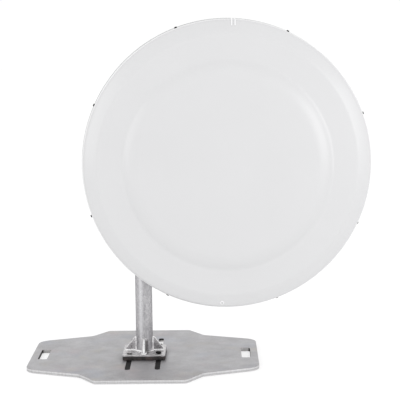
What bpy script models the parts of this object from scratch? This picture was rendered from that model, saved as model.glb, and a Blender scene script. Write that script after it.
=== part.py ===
"""Parabolic dish antenna with a closed radome, on a short mast and a flat steel ground plate.

Metres, +Z up. The origin is on the mast's axis, at the underside of the ground plate.
The dish faces -Y, turned a few degrees about the mast.
"""

from math import acos, cos, pi, radians, sin, tan

import bmesh
import bpy
from mathutils import Matrix, Vector
from mathutils.geometry import tessellate_polygon

# Gap between pieces that touch
SEAT_GAP = 0.0003

# How far a cutter reaches past what it cuts
CUT_REACH = 0.020

# Steps round a bolt, a bolt hole and a larger turned piece
BOLT_SEGMENTS = 16
TUBE_SEGMENTS = 40
CAP_SEGMENTS = 24

# A bolt head's chamfer, as a share of its height
HEAD_CHAMFER = 0.3

# Ground plate: a wide middle that narrows to two ends, each with a hand slot
PLATE_THICK = 0.0127
PLATE_CENTRE_Y = 0.022
PLATE_HALF_WIDTH = 0.408
PLATE_HALF_DEPTH = 0.346
PLATE_FRONT_CORNER_X = 0.156
PLATE_WAIST = (0.212, 0.265)
PLATE_END_HALF_DEPTH = 0.193
PLATE_END_RADIUS = 0.050
PLATE_CORNER_RADIUS = 0.012
PLATE_WAIST_RADIUS = 0.030

HAND_SLOT_X = 0.3655
HAND_SLOT_WIDTH = 0.033
HAND_SLOT_LENGTH = 0.132
HAND_SLOT_CORNER = 0.008

# Two long slots, in which the mast's foot can be set nearer or farther
LONG_SLOT_X = 0.052
LONG_SLOT_WIDTH = 0.018
LONG_SLOT_HALF_LENGTH = 0.2175
PILOT_HOLE_RADIUS = 0.003
PILOT_HOLE_Y = 0.333

# Slide bars that fill the front of the long slots and take the foot's bolts
SLIDE_BAR_BACK_Y = 0.074
SLIDE_BAR_LOW = 0.0012

# Mast foot
FLANGE_SIDE = 0.1524
FLANGE_CORNER_RADIUS = 0.010
PAD_THICK = 0.0127
FLANGE_THICK = 0.0064
FLANGE_BOLT_X = LONG_SLOT_X
FLANGE_BOLT_Y = 0.053
FLANGE_BOLT_RADIUS = 0.0058
FLANGE_BOLT_HOLE_RADIUS = 0.0062
FLANGE_BOLT_HEAD_RADIUS = 0.0105
FLANGE_BOLT_HEAD_HEIGHT = 0.0065
FLANGE_BOLT_SHORT = 0.0010

GUSSET_THICK = 0.0095
GUSSET_REACH = 0.037
GUSSET_HEIGHT = 0.047
GUSSET_TOE = 0.007
GUSSET_TOP = 0.006

# Mast tube, a 2 inch standard pipe
MAST_RADIUS = 0.03015
MAST_WALL = 0.0039
MAST_TOP = 0.930
MAST_CAP_THICK = 0.005
MAST_CAP_PLUG_DEPTH = 0.020
MAST_CAP_WALL = 0.003
MAST_CAP_EDGE = 0.002

# Pointing: the head is turned about the mast, the dish is turned a little in its own plane
AZIMUTH_TURN = radians(3.0)
DISH_ROLL = radians(2.5)
DISH_OFFSET_X = 0.2835
DISH_RIM_Y = -0.285
DISH_HEIGHT = 0.734

# Reflector: a spun aluminium paraboloid with a rim flange and a lip for the radome
REFLECTOR_RADIUS = 0.466
REFLECTOR_DEPTH = 0.154
REFLECTOR_RIM_BACK = 0.008
REFLECTOR_THICK = 0.0025
REFLECTOR_FLANGE_RADIUS = 0.4808
REFLECTOR_LIP_RADIUS = 0.4742
REFLECTOR_LIP_FRONT = 0.0235
REFLECTOR_BORE = 0.050
REFLECTOR_RINGS = 7

# Radome: outer profile as (radius, distance in front of the rim plane), from the skirt to the middle
RADOME_SKIRT_RADIUS = 0.4775
RADOME_THICK = 0.003
RADOME_EDGE = ((0.4775, 0.024), (0.4766, 0.033), (0.4745, 0.0400), (0.4700, 0.0450))
RADOME_OUTER_CREASE = (0.4302, 0.0600)
RADOME_INNER_CREASE = (0.3460, 0.0655)
RADOME_STEP = ((0.3300, 0.0740), (0.3120, 0.0800), (0.2900, 0.0838))
RADOME_DOME = ((0.2300, 0.0885), (0.1500, 0.0925), (0.0700, 0.0945))
RADOME_MIDDLE = 0.0950

DISH_SEGMENTS = 56

# Turns a piece spun about Z so that its front faces -Y
FACING = (pi / 2, 0, 0)

RIM_SCREW_COUNT = 8
RIM_SCREW_FRONT = 0.017
RIM_SCREW_RADIUS = 0.0050
RIM_SCREW_HEIGHT = 0.0045
RIM_SCREW_SEGMENTS = 12

# Hub ring behind the reflector and the feed's rear flange
HUB_RADIUS = 0.140
HUB_BORE = 0.0525
HUB_BACK = 0.173
HUB_RIM_WIDTH = 0.014
HUB_RECESS_OUTER = 0.0042
HUB_RECESS_INNER = 0.0021
HUB_RINGS = 3
FEED_BOSS_RADIUS = 0.0450
FEED_NECK_RADIUS = 0.0495
FEED_BOSS_BACK = 0.205
FEED_BORE = 0.018
FEED_NECK_BACK = 0.171
FEED_SEGMENTS = 32
PORT_COVER_RADIUS = 0.030
PORT_COVER_THICK = 0.004
PORT_COVER_EDGE = (0.0020, 0.0016)

# Elevation bracket: a U in plan, bolted to the hub ring
BRACKET_HALF_WIDTH = 0.062
BRACKET_WALL = 0.006
BRACKET_HALF_HEIGHT = 0.085
BRACKET_BACK_Y = 0.012
BRACKET_BORE = 0.0485
PIVOT_Y = -0.030
PIVOT_DROP = 0.045
LOCK_SWING = radians(14.0)
LOCK_SLOT_WIDTH = 0.0130
PIVOT_RADIUS = 0.0060
PIVOT_HOLE_RADIUS = 0.0064
PIVOT_HEAD_RADIUS = 0.0105
PIVOT_HEAD_HEIGHT = 0.0080
BOLT_END = 0.014

# Arm: a channel from the azimuth pin to the elevation bracket's side
ARM_HALF_HEIGHT = 0.055
ARM_WALL = 0.006
ARM_FRONT_Y = -0.105
ARM_BACK_Y = -0.056
ARM_START_X = 0.012
ARM_END_PLATE = 0.008
ARM_END_FRONT_Y = -0.108
ARM_END_HALF_HEIGHT = 0.075
ARM_END_BACK_Y = 0.010
ARM_END_FRONT_RADIUS = 0.010
ARM_END_BACK_RADIUS = 0.012

# Pipe bracket: a channel clamped to the mast by two U-bolts
PIPE_BRACKET_HALF_WIDTH = 0.0625
PIPE_BRACKET_HALF_HEIGHT = 0.118
PIPE_BRACKET_WALL = 0.006
PIPE_BRACKET_BACK_Y = -0.0452
SHELF_THICK = 0.008
SHELF_FRONT_Y = -0.104
TONGUE_END_X = 0.132
TONGUE_HALF_HEIGHT = 0.018
TONGUE_ROOT = 0.010
TONGUE_RADIUS = 0.012
SADDLE_HALF_WIDTH = 0.0290
SADDLE_HALF_HEIGHT = 0.018
SADDLE_WRAP = radians(40.0)
SADDLE_STEPS = 8
U_BOLT_HEIGHT = 0.096
U_BOLT_RADIUS = 0.0050
U_BOLT_HOLE_RADIUS = 0.0055
U_BOLT_END_Y = -0.074
U_BOLT_STEPS = 12

AZIMUTH_PIN_X = 0.037
AZIMUTH_PIN_Y = -0.080
AZIMUTH_PIN_RADIUS = 0.0080
AZIMUTH_PIN_HOLE_RADIUS = 0.0084
AZIMUTH_PIN_HEAD_RADIUS = 0.0130
AZIMUTH_PIN_HEAD_HEIGHT = 0.0100

ADJUSTER_X = 0.115
ADJUSTER_RADIUS = 0.0050
ADJUSTER_HOLE_RADIUS = 0.0054
ADJUSTER_FRONT_Y = -0.120
ADJUSTER_BACK_Y = -0.018

# Colours as linear red, green, blue, then roughness and metallic
GALVANISED = ((0.42, 0.42, 0.43), 0.50, 1.0)
RADOME_WHITE = ((0.84, 0.84, 0.83), 0.45, 0.0)
REFLECTOR_GREY = ((0.62, 0.62, 0.61), 0.40, 0.0)
BLACK_RUBBER = ((0.02, 0.02, 0.02), 0.70, 0.0)
BLACK_STEEL = ((0.03, 0.03, 0.03), 0.45, 0.6)
CAST_ALUMINIUM = ((0.55, 0.55, 0.54), 0.55, 1.0)
STAINLESS = ((0.50, 0.50, 0.50), 0.30, 1.0)

FOOT_BASE = PLATE_THICK + SEAT_GAP
FLANGE_LOW = FOOT_BASE + PAD_THICK + SEAT_GAP
FLANGE_TOP = FLANGE_LOW + FLANGE_THICK
WELD_BASE = FLANGE_TOP + SEAT_GAP


def clear_scene():
    for obj in list(bpy.data.objects):
        bpy.data.objects.remove(obj, do_unlink=True)


def make_material(name, finish):
    colour, roughness, metallic = finish
    mat = bpy.data.materials.new(name)
    mat.use_nodes = True
    shader = mat.node_tree.nodes["Principled BSDF"]
    shader.inputs["Base Color"].default_value = (*colour, 1.0)
    shader.inputs["Roughness"].default_value = roughness
    shader.inputs["Metallic"].default_value = metallic
    return mat


def add_empty(name, location, rotation, parent=None):
    empty = bpy.data.objects.new(name, None)
    empty.location = location
    empty.rotation_euler = rotation
    empty.parent = parent
    bpy.context.scene.collection.objects.link(empty)
    return empty


def add_piece(name, bm, finish, parent=None, location=(0, 0, 0), rotation=(0, 0, 0)):
    """Turn a closed bmesh into a named object with its own material, round parts shaded smooth."""
    bmesh.ops.recalc_face_normals(bm, faces=bm.faces)
    mesh = bpy.data.meshes.new(name)
    bm.to_mesh(mesh)
    bm.free()
    mesh.shade_smooth()
    mesh.set_sharp_from_angle(angle=radians(30.0))
    obj = bpy.data.objects.new(name, mesh)
    obj.location = location
    obj.rotation_euler = rotation
    obj.parent = parent
    bpy.context.scene.collection.objects.link(obj)
    if finish is not None:
        mesh.materials.append(make_material(name, finish))
    return obj


def boolean(target, bm, operation):
    """Cut the shape in bm from the target, or weld it on; bm is in the target's parent's frame."""
    tool = add_piece(target.name + "_" + operation.lower(), bm, None, parent=target.parent)
    tool.hide_render = True
    tool.display_type = "WIRE"
    modifier = target.modifiers.new(operation.title(), "BOOLEAN")
    modifier.operation = operation
    modifier.solver = "EXACT"
    modifier.object = tool


def circle_points(x, y, radius, count=BOLT_SEGMENTS):
    angles = [2 * pi * i / count for i in range(count)]
    return [(x + radius * cos(angle), y + radius * sin(angle)) for angle in angles]


def slot_points(x, half_length, width, steps, y=0.0):
    """A slot that runs along Y, with half-round ends."""
    r = width / 2
    reach = half_length - r
    angles = [pi * i / steps for i in range(steps + 1)]
    back = [(x + r * cos(angle), y + reach + r * sin(angle)) for angle in angles]
    front = [(x - r * cos(angle), y - reach - r * sin(angle)) for angle in angles]
    return back + front


def rounded(corners, steps=4):
    """Outline from (x, y, radius) corners, with an arc of the stated radius at each."""
    points = []
    count = len(corners)
    for i in range(count):
        x, y, radius = corners[i]
        here = Vector((x, y))
        if radius == 0:
            points.append((x, y))
            continue
        before = (Vector(corners[i - 1][:2]) - here).normalized()
        after = (Vector(corners[(i + 1) % count][:2]) - here).normalized()
        half = acos(max(-1.0, min(1.0, before.dot(after)))) / 2
        start = here + before * (radius / tan(half))
        end = here + after * (radius / tan(half))
        centre = here + (before + after).normalized() * (radius / sin(half))
        first = start - centre
        turn = first.angle_signed(end - centre)
        for k in range(steps + 1):
            spoke = first.copy()
            spoke.rotate(Matrix.Rotation(-turn * k / steps, 2))
            points.append(tuple(centre + spoke))
    return points


def prism(outline, low, high, holes=(), along="Z"):
    """Extrude a flat outline with holes; it is (x, y) along Z, (x, z) along Y and (y, z) along X."""
    bm = bmesh.new()
    loops = [outline, *holes]
    flat = [Vector((p[0], p[1], 0.0)) for loop in loops for p in loop]
    triangles = tessellate_polygon([[Vector((p[0], p[1], 0.0)) for p in loop] for loop in loops])
    bottom = [bm.verts.new((p.x, p.y, low)) for p in flat]
    top = [bm.verts.new((p.x, p.y, high)) for p in flat]
    for tri in triangles:
        bm.faces.new([bottom[i] for i in tri])
        bm.faces.new([top[i] for i in tri])
    start = 0
    for loop in loops:
        size = len(loop)
        for i in range(size):
            j = (i + 1) % size
            bm.faces.new((bottom[start + i], bottom[start + j], top[start + j], top[start + i]))
        start += size
    if along == "Y":
        swap = Matrix(((1, 0, 0, 0), (0, 0, 1, 0), (0, 1, 0, 0), (0, 0, 0, 1)))
        bmesh.ops.transform(bm, matrix=swap, verts=bm.verts)
    if along == "X":
        swap = Matrix(((0, 0, 1, 0), (1, 0, 0, 0), (0, 1, 0, 0), (0, 0, 0, 1)))
        bmesh.ops.transform(bm, matrix=swap, verts=bm.verts)
    return bm


def revolve(profile, segments, closed=True):
    """Spin a profile of (radius, height) points about Z. An open profile starts and ends on the axis."""
    bm = bmesh.new()
    verts = [bm.verts.new((radius, 0.0, height)) for radius, height in profile]
    pairs = list(zip(verts, verts[1:]))
    if closed:
        pairs.append((verts[-1], verts[0]))
    edges = [bm.edges.new(pair) for pair in pairs]
    bmesh.ops.spin(
        bm, geom=verts + edges, cent=(0, 0, 0), axis=(0, 0, 1), angle=2 * pi, steps=segments, use_merge=True
    )
    bmesh.ops.remove_doubles(bm, verts=bm.verts, dist=0.000001)
    return bm


def rod(start, end, radius, segments=BOLT_SEGMENTS):
    """A plain round bar between two points."""
    start, end = Vector(start), Vector(end)
    bm = bmesh.new()
    turn = (end - start).to_track_quat("Z", "Y").to_matrix().to_4x4()
    bmesh.ops.create_cone(
        bm, cap_ends=True, segments=segments, radius1=radius, radius2=radius,
        depth=(end - start).length, matrix=Matrix.Translation((start + end) / 2) @ turn,
    )
    return bm


def merge(*parts):
    """Put several closed shapes that don't touch into one bmesh."""
    whole = parts[0]
    for part in parts[1:]:
        mesh = bpy.data.meshes.new("part")
        part.to_mesh(mesh)
        part.free()
        whole.from_mesh(mesh)
        bpy.data.meshes.remove(mesh)
    return whole


def bolt_profile(head_radius, head_height, shank_radius, shank_length):
    """Open profile of a round-headed bolt: the head stands on z = 0, the shank runs down."""
    chamfer = head_height * HEAD_CHAMFER
    return [
        (0.0, head_height),
        (head_radius - chamfer, head_height),
        (head_radius, head_height - chamfer),
        (head_radius, 0.0),
        (shank_radius, 0.0),
        (shank_radius, -shank_length),
        (0.0, -shank_length),
    ]


def plate_outline():
    """The ground plate's outline, from one quarter's corners mirrored both ways."""
    waist_x, waist_y = PLATE_WAIST
    quarter = [
        (PLATE_HALF_WIDTH, PLATE_END_HALF_DEPTH, PLATE_END_RADIUS),
        (waist_x, waist_y, PLATE_WAIST_RADIUS),
        (PLATE_FRONT_CORNER_X, PLATE_HALF_DEPTH, PLATE_CORNER_RADIUS),
    ]
    corners = list(quarter)
    corners += [(-x, y, r) for x, y, r in reversed(quarter)]
    corners += [(-x, -y, r) for x, y, r in quarter]
    corners += [(x, -y, r) for x, y, r in reversed(quarter)]
    return [(x, y + PLATE_CENTRE_Y) for x, y in rounded(corners)]


def hand_slot_points(side):
    """A hand slot at one end of the plate: a long rectangle with rounded corners."""
    x = side * HAND_SLOT_X
    half_width, half_length = HAND_SLOT_WIDTH / 2, HAND_SLOT_LENGTH / 2
    signs = ((1, 1), (-1, 1), (-1, -1), (1, -1))
    corners = [(x + sx * half_width, PLATE_CENTRE_Y + sy * half_length, HAND_SLOT_CORNER) for sx, sy in signs]
    return rounded(corners)


def build_ground_plate():
    holes = []
    for side in (-1, 1):
        holes.append(hand_slot_points(side))
        long_slot = (LONG_SLOT_HALF_LENGTH, LONG_SLOT_WIDTH, 6, PLATE_CENTRE_Y)
        holes.append(slot_points(side * LONG_SLOT_X, *long_slot))
        for end in (-1, 1):
            y = PLATE_CENTRE_Y + end * PILOT_HOLE_Y
            holes.append(circle_points(side * LONG_SLOT_X, y, PILOT_HOLE_RADIUS, 8))
    add_piece("ground_plate", prism(plate_outline(), 0.0, PLATE_THICK, holes), GALVANISED)


def build_slide_bars():
    """Bars that lie in the slots' front part; each takes two of the foot's bolts."""
    front = PLATE_CENTRE_Y - LONG_SLOT_HALF_LENGTH + SEAT_GAP
    half = (SLIDE_BAR_BACK_Y - front) / 2
    for side, name in ((-1, "left"), (1, "right")):
        x = side * LONG_SLOT_X
        outline = slot_points(x, half, LONG_SLOT_WIDTH - 2 * SEAT_GAP, 6, front + half)
        holes = [circle_points(x, y, FLANGE_BOLT_HOLE_RADIUS) for y in (-FLANGE_BOLT_Y, FLANGE_BOLT_Y)]
        add_piece("slide_bar_" + name, prism(outline, SLIDE_BAR_LOW, PLATE_THICK, holes), BLACK_STEEL)


def foot_bolt_places():
    return [(sx * FLANGE_BOLT_X, sy * FLANGE_BOLT_Y) for sy in (-1, 1) for sx in (-1, 1)]


def build_mast_foot():
    """Pad, flange, four gussets and four bolts."""
    half = FLANGE_SIDE / 2
    signs = ((1, 1), (-1, 1), (-1, -1), (1, -1))
    square = rounded([(sx * half, sy * half, FLANGE_CORNER_RADIUS) for sx, sy in signs])
    holes = [circle_points(x, y, FLANGE_BOLT_HOLE_RADIUS) for x, y in foot_bolt_places()]
    add_piece("flange_pad", prism(square, FOOT_BASE, FOOT_BASE + PAD_THICK, holes), BLACK_RUBBER)
    add_piece("mast_flange", prism(square, FLANGE_LOW, FLANGE_TOP, holes), GALVANISED)

    inner = MAST_RADIUS + SEAT_GAP
    side_view = [
        (inner, 0.0),
        (inner + GUSSET_REACH, 0.0),
        (inner + GUSSET_REACH, GUSSET_TOE),
        (inner + GUSSET_TOP, GUSSET_HEIGHT),
        (inner, GUSSET_HEIGHT),
    ]
    for turn, name in enumerate(("right", "back", "left", "front")):
        gusset = prism(side_view, -GUSSET_THICK / 2, GUSSET_THICK / 2, along="Y")
        facing = (0, 0, turn * pi / 2)
        add_piece("gusset_" + name, gusset, GALVANISED, location=(0, 0, WELD_BASE), rotation=facing)

    head_base = FLANGE_TOP + SEAT_GAP
    length = head_base - SLIDE_BAR_LOW - FLANGE_BOLT_SHORT
    profile = bolt_profile(FLANGE_BOLT_HEAD_RADIUS, FLANGE_BOLT_HEAD_HEIGHT, FLANGE_BOLT_RADIUS, length)
    names = ("front_left", "front_right", "back_left", "back_right")
    for (x, y), name in zip(foot_bolt_places(), names):
        bolt = revolve(profile, BOLT_SEGMENTS, closed=False)
        add_piece("flange_bolt_" + name, bolt, BLACK_STEEL, location=(x, y, head_base))


def build_mast():
    inner = MAST_RADIUS - MAST_WALL
    wall = [(inner, WELD_BASE), (MAST_RADIUS, WELD_BASE), (MAST_RADIUS, MAST_TOP), (inner, MAST_TOP)]
    add_piece("mast_tube", revolve(wall, TUBE_SEGMENTS), GALVANISED)

    low = MAST_TOP + SEAT_GAP
    plug = inner - SEAT_GAP
    cap = [
        (0.0, low + MAST_CAP_THICK),
        (MAST_RADIUS - MAST_CAP_EDGE, low + MAST_CAP_THICK),
        (MAST_RADIUS, low + MAST_CAP_THICK - MAST_CAP_EDGE),
        (MAST_RADIUS, low),
        (plug, low),
        (plug, low - MAST_CAP_PLUG_DEPTH),
        (plug - MAST_CAP_WALL, low - MAST_CAP_PLUG_DEPTH),
        (plug - MAST_CAP_WALL, low),
        (0.0, low),
    ]
    add_piece("mast_cap", revolve(cap, CAP_SEGMENTS, closed=False), BLACK_RUBBER)


def pin_hole(reach):
    """Cutter for the azimuth pin's hole, so far above and below the dish's middle."""
    low = (AZIMUTH_PIN_X, AZIMUTH_PIN_Y, DISH_HEIGHT - reach)
    high = (AZIMUTH_PIN_X, AZIMUTH_PIN_Y, DISH_HEIGHT + reach)
    return rod(low, high, AZIMUTH_PIN_HOLE_RADIUS)


def cross_hole(x, y, z, radius):
    """Cutter for a hole that runs front to back."""
    return rod((x, y - CUT_REACH, z), (x, y + CUT_REACH, z), radius)


def build_pipe_clamp(head):
    """Channel bracket, two cradles and two U-bolts round the mast."""
    back = PIPE_BRACKET_BACK_Y
    web_front = back - PIPE_BRACKET_WALL
    tall = PIPE_BRACKET_HALF_HEIGHT
    shelf_in = ARM_HALF_HEIGHT + SEAT_GAP
    shelf_out = shelf_in + SHELF_THICK
    upper_shelf = [
        (web_front, shelf_out),
        (SHELF_FRONT_Y, shelf_out),
        (SHELF_FRONT_Y, shelf_in),
        (web_front, shelf_in),
    ]
    lower_shelf = [(y, -z) for y, z in reversed(upper_shelf)]
    side_view = [(back, -tall), (back, tall), (web_front, tall)]
    side_view += upper_shelf + lower_shelf
    side_view.append((web_front, -tall))
    lifted = [(y, z + DISH_HEIGHT) for y, z in side_view]
    half = PIPE_BRACKET_HALF_WIDTH
    bracket = add_piece("pipe_bracket", prism(lifted, -half, half, along="X"), GALVANISED, head)

    low, high = DISH_HEIGHT - TONGUE_HALF_HEIGHT, DISH_HEIGHT + TONGUE_HALF_HEIGHT
    root = half - TONGUE_ROOT
    tongue = rounded([
        (root, low, 0),
        (TONGUE_END_X, low, TONGUE_RADIUS),
        (TONGUE_END_X, high, TONGUE_RADIUS),
        (root, high, 0),
    ])
    boolean(bracket, prism(tongue, web_front, back, along="Y"), "UNION")
    leg_x = MAST_RADIUS + U_BOLT_RADIUS + SEAT_GAP
    holes = [
        pin_hole(tall),
        cross_hole(ADJUSTER_X, back, DISH_HEIGHT, ADJUSTER_HOLE_RADIUS),
    ]
    for sz in (-1, 1):
        for sx in (-1, 1):
            holes.append(cross_hole(sx * leg_x, back, DISH_HEIGHT + sz * U_BOLT_HEIGHT, U_BOLT_HOLE_RADIUS))
    boolean(bracket, merge(*holes), "DIFFERENCE")

    seat = MAST_RADIUS + SEAT_GAP
    arc = [SADDLE_WRAP * (2 * i / SADDLE_STEPS - 1) for i in range(SADDLE_STEPS + 1)]
    cradle = [(seat * sin(t), -seat * cos(t)) for t in reversed(arc)]
    lip = -seat * cos(SADDLE_WRAP)
    base = back + SEAT_GAP
    side = SADDLE_HALF_WIDTH
    plan = [(-side, lip), (-side, base), (side, base), (side, lip), *cradle]
    for sz, name in ((1, "upper"), (-1, "lower")):
        z = DISH_HEIGHT + sz * U_BOLT_HEIGHT
        saddle = prism(plan, z - SADDLE_HALF_HEIGHT, z + SADDLE_HALF_HEIGHT)
        add_piece("saddle_" + name, saddle, GALVANISED, head)
        build_u_bolt("u_bolt_" + name, leg_x, z, head)


def build_u_bolt(name, leg_x, z, parent):
    """A bent bar round the back of the mast, its two legs through the bracket."""
    curve = bpy.data.curves.new(name, "CURVE")
    curve.dimensions = "3D"
    curve.bevel_depth = U_BOLT_RADIUS
    curve.bevel_resolution = 2
    curve.use_fill_caps = True
    angles = [pi * i / U_BOLT_STEPS for i in range(U_BOLT_STEPS + 1)]
    bend = [(leg_x * cos(angle), leg_x * sin(angle)) for angle in angles]
    path = [(leg_x, U_BOLT_END_Y), *bend, (-leg_x, U_BOLT_END_Y)]
    spline = curve.splines.new("POLY")
    spline.points.add(len(path) - 1)
    for point, (x, y) in zip(spline.points, path):
        point.co = (x, y, z, 1.0)
    curve.materials.append(make_material(name, STAINLESS))
    obj = bpy.data.objects.new(name, curve)
    obj.parent = parent
    bpy.context.scene.collection.objects.link(obj)


def build_arm(head):
    """Channel arm from the azimuth pin to the elevation bracket, with its end plate and bolts."""
    tall, wall = ARM_HALF_HEIGHT, ARM_WALL
    side_view = [
        (ARM_BACK_Y, tall), (ARM_FRONT_Y, tall), (ARM_FRONT_Y, -tall), (ARM_BACK_Y, -tall),
        (ARM_BACK_Y, wall - tall), (ARM_FRONT_Y + wall, wall - tall),
        (ARM_FRONT_Y + wall, tall - wall), (ARM_BACK_Y, tall - wall),
    ]
    lifted = [(y, z + DISH_HEIGHT) for y, z in side_view]
    end_x = DISH_OFFSET_X - BRACKET_HALF_WIDTH - SEAT_GAP
    channel = prism(lifted, ARM_START_X, end_x - ARM_END_PLATE / 2, along="X")
    arm = add_piece("azimuth_arm", channel, GALVANISED, head)
    low, high = DISH_HEIGHT - ARM_END_HALF_HEIGHT, DISH_HEIGHT + ARM_END_HALF_HEIGHT
    end_plate = rounded([
        (ARM_END_FRONT_Y, low, ARM_END_FRONT_RADIUS), (ARM_END_BACK_Y, low, ARM_END_BACK_RADIUS),
        (ARM_END_BACK_Y, high, ARM_END_BACK_RADIUS), (ARM_END_FRONT_Y, high, ARM_END_FRONT_RADIUS),
    ])
    boolean(arm, prism(end_plate, end_x - ARM_END_PLATE, end_x, along="X"), "UNION")

    pivot = (PIVOT_Y, DISH_HEIGHT - PIVOT_DROP)
    lock = (PIVOT_Y, DISH_HEIGHT + PIVOT_DROP)
    left, right = end_x - CUT_REACH, end_x + CUT_REACH
    holes = [rod((left, *place), (right, *place), PIVOT_HOLE_RADIUS) for place in (pivot, lock)]
    holes.append(pin_hole(2 * ARM_HALF_HEIGHT))
    holes.append(cross_hole(ADJUSTER_X, ARM_FRONT_Y, DISH_HEIGHT, ADJUSTER_HOLE_RADIUS))
    boolean(arm, merge(*holes), "DIFFERENCE")
    build_arm_bolts(head, end_x, pivot, lock)


def build_arm_bolts(head, end_x, pivot, lock):
    """The azimuth pin, the azimuth adjuster and the two bolts of the elevation bracket."""
    pin_top = ARM_HALF_HEIGHT + SHELF_THICK + 2 * SEAT_GAP
    pin_length = 2 * pin_top + BOLT_END
    pin = bolt_profile(AZIMUTH_PIN_HEAD_RADIUS, AZIMUTH_PIN_HEAD_HEIGHT, AZIMUTH_PIN_RADIUS, pin_length)
    place = (AZIMUTH_PIN_X, AZIMUTH_PIN_Y, DISH_HEIGHT + pin_top)
    add_piece("azimuth_pin", revolve(pin, BOLT_SEGMENTS, closed=False), STAINLESS, head, location=place)

    front, back = (ADJUSTER_X, ADJUSTER_FRONT_Y, DISH_HEIGHT), (ADJUSTER_X, ADJUSTER_BACK_Y, DISH_HEIGHT)
    add_piece("azimuth_adjuster", rod(front, back, ADJUSTER_RADIUS), STAINLESS, head)

    head_x = end_x - ARM_END_PLATE - SEAT_GAP
    grip = ARM_END_PLATE + BRACKET_WALL + 2 * SEAT_GAP + BOLT_END
    profile = bolt_profile(PIVOT_HEAD_RADIUS, PIVOT_HEAD_HEIGHT, PIVOT_RADIUS, grip)
    for name, (y, z) in (("elevation_pivot_bolt", pivot), ("elevation_lock_bolt", lock)):
        bolt = revolve(profile, BOLT_SEGMENTS, closed=False)
        add_piece(name, bolt, STAINLESS, head, location=(head_x, y, z), rotation=(0, -pi / 2, 0))


def arc_slot(centre, swing_radius, width, steps=8):
    """Curved slot above a pivot, as (y, z) points."""
    y0, z0 = centre
    half = width / 2
    angles = [LOCK_SWING * (2 * i / steps - 1) for i in range(steps + 1)]
    far, near = swing_radius + half, swing_radius - half
    outer = [(y0 + far * sin(t), z0 + far * cos(t)) for t in angles]
    inner = [(y0 + near * sin(t), z0 + near * cos(t)) for t in reversed(angles)]
    return outer + inner


def build_elevation_bracket(head):
    half, wall = BRACKET_HALF_WIDTH, BRACKET_WALL
    front = DISH_RIM_Y + HUB_BACK + SEAT_GAP
    x0, x1 = DISH_OFFSET_X - half, DISH_OFFSET_X + half
    plan = [
        (x0, front), (x1, front),
        (x1, BRACKET_BACK_Y), (x1 - wall, BRACKET_BACK_Y),
        (x1 - wall, front + wall), (x0 + wall, front + wall),
        (x0 + wall, BRACKET_BACK_Y), (x0, BRACKET_BACK_Y),
    ]
    low, high = DISH_HEIGHT - BRACKET_HALF_HEIGHT, DISH_HEIGHT + BRACKET_HALF_HEIGHT
    bracket = add_piece("elevation_bracket", prism(plan, low, high), GALVANISED, head)
    pivot = (PIVOT_Y, DISH_HEIGHT - PIVOT_DROP)
    bore_front = (DISH_OFFSET_X, front - CUT_REACH, DISH_HEIGHT)
    bore_back = (DISH_OFFSET_X, front + CUT_REACH, DISH_HEIGHT)
    left, right = x0 - CUT_REACH, x1 + CUT_REACH
    tools = merge(
        rod(bore_front, bore_back, BRACKET_BORE, TUBE_SEGMENTS),
        rod((left, *pivot), (right, *pivot), PIVOT_HOLE_RADIUS),
        prism(arc_slot(pivot, 2 * PIVOT_DROP, LOCK_SLOT_WIDTH), left, right, along="X"),
    )
    boolean(bracket, tools, "DIFFERENCE")


def parabola_rise(radius):
    """Height of the reflector's face above its lowest point."""
    return REFLECTOR_DEPTH * (radius / REFLECTOR_RADIUS) ** 2


def reflector_face(radius, behind=0.0):
    """Point of the reflector's face, or of a surface set behind it, as (radius, front distance)."""
    slope = 2 * REFLECTOR_DEPTH * radius / REFLECTOR_RADIUS ** 2
    level = parabola_rise(radius) - REFLECTOR_DEPTH - REFLECTOR_RIM_BACK
    length = (1 + slope * slope) ** 0.5
    return radius + behind * slope / length, level - behind / length


def offset_inward(profile, distance):
    """The same open profile moved to its inner side by a wall's thickness."""
    moved = []
    for i, (r, h) in enumerate(profile):
        before = Vector(profile[max(i - 1, 0)])
        after = Vector(profile[min(i + 1, len(profile) - 1)])
        here = Vector((r, h))
        sides = [(b - a).normalized() for a, b in ((before, here), (here, after)) if (b - a).length > 0]
        normals = [Vector((-side.y, side.x)) for side in sides]
        middle = sum(normals, Vector((0, 0))).normalized()
        stretch = 1 / max(0.5, middle.dot(normals[0]))
        point = here + middle * distance * stretch
        moved.append((max(point.x, 0.0), point.y))
    return moved


def radome_profile():
    skirt_back = SEAT_GAP - REFLECTOR_RIM_BACK
    return [
        (RADOME_SKIRT_RADIUS, skirt_back),
        *RADOME_EDGE,
        RADOME_OUTER_CREASE,
        RADOME_INNER_CREASE,
        *RADOME_STEP,
        *RADOME_DOME,
        (0.0, RADOME_MIDDLE),
    ]


def spread(first, last, steps):
    """Evenly spaced numbers from the first to the last."""
    return [first + (last - first) * i / steps for i in range(steps + 1)]


def build_reflector(dish):
    radii = spread(REFLECTOR_BORE, REFLECTOR_RADIUS, REFLECTOR_RINGS)
    face = [reflector_face(r) for r in radii]
    rear = [reflector_face(r, REFLECTOR_THICK) for r in radii[:-1]]
    flange_back = -REFLECTOR_RIM_BACK - REFLECTOR_THICK
    lip_in = REFLECTOR_LIP_RADIUS - REFLECTOR_THICK
    rim = [
        (lip_in, -REFLECTOR_RIM_BACK),
        (lip_in, REFLECTOR_LIP_FRONT),
        (REFLECTOR_LIP_RADIUS, REFLECTOR_LIP_FRONT),
        (REFLECTOR_LIP_RADIUS, -REFLECTOR_RIM_BACK),
        (REFLECTOR_FLANGE_RADIUS, -REFLECTOR_RIM_BACK),
        (REFLECTOR_FLANGE_RADIUS, flange_back),
        (REFLECTOR_RADIUS + REFLECTOR_THICK, flange_back),
    ]
    shell = face + rim + list(reversed(rear))
    add_piece("reflector", revolve(shell, DISH_SEGMENTS), REFLECTOR_GREY, dish, rotation=FACING)


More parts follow.
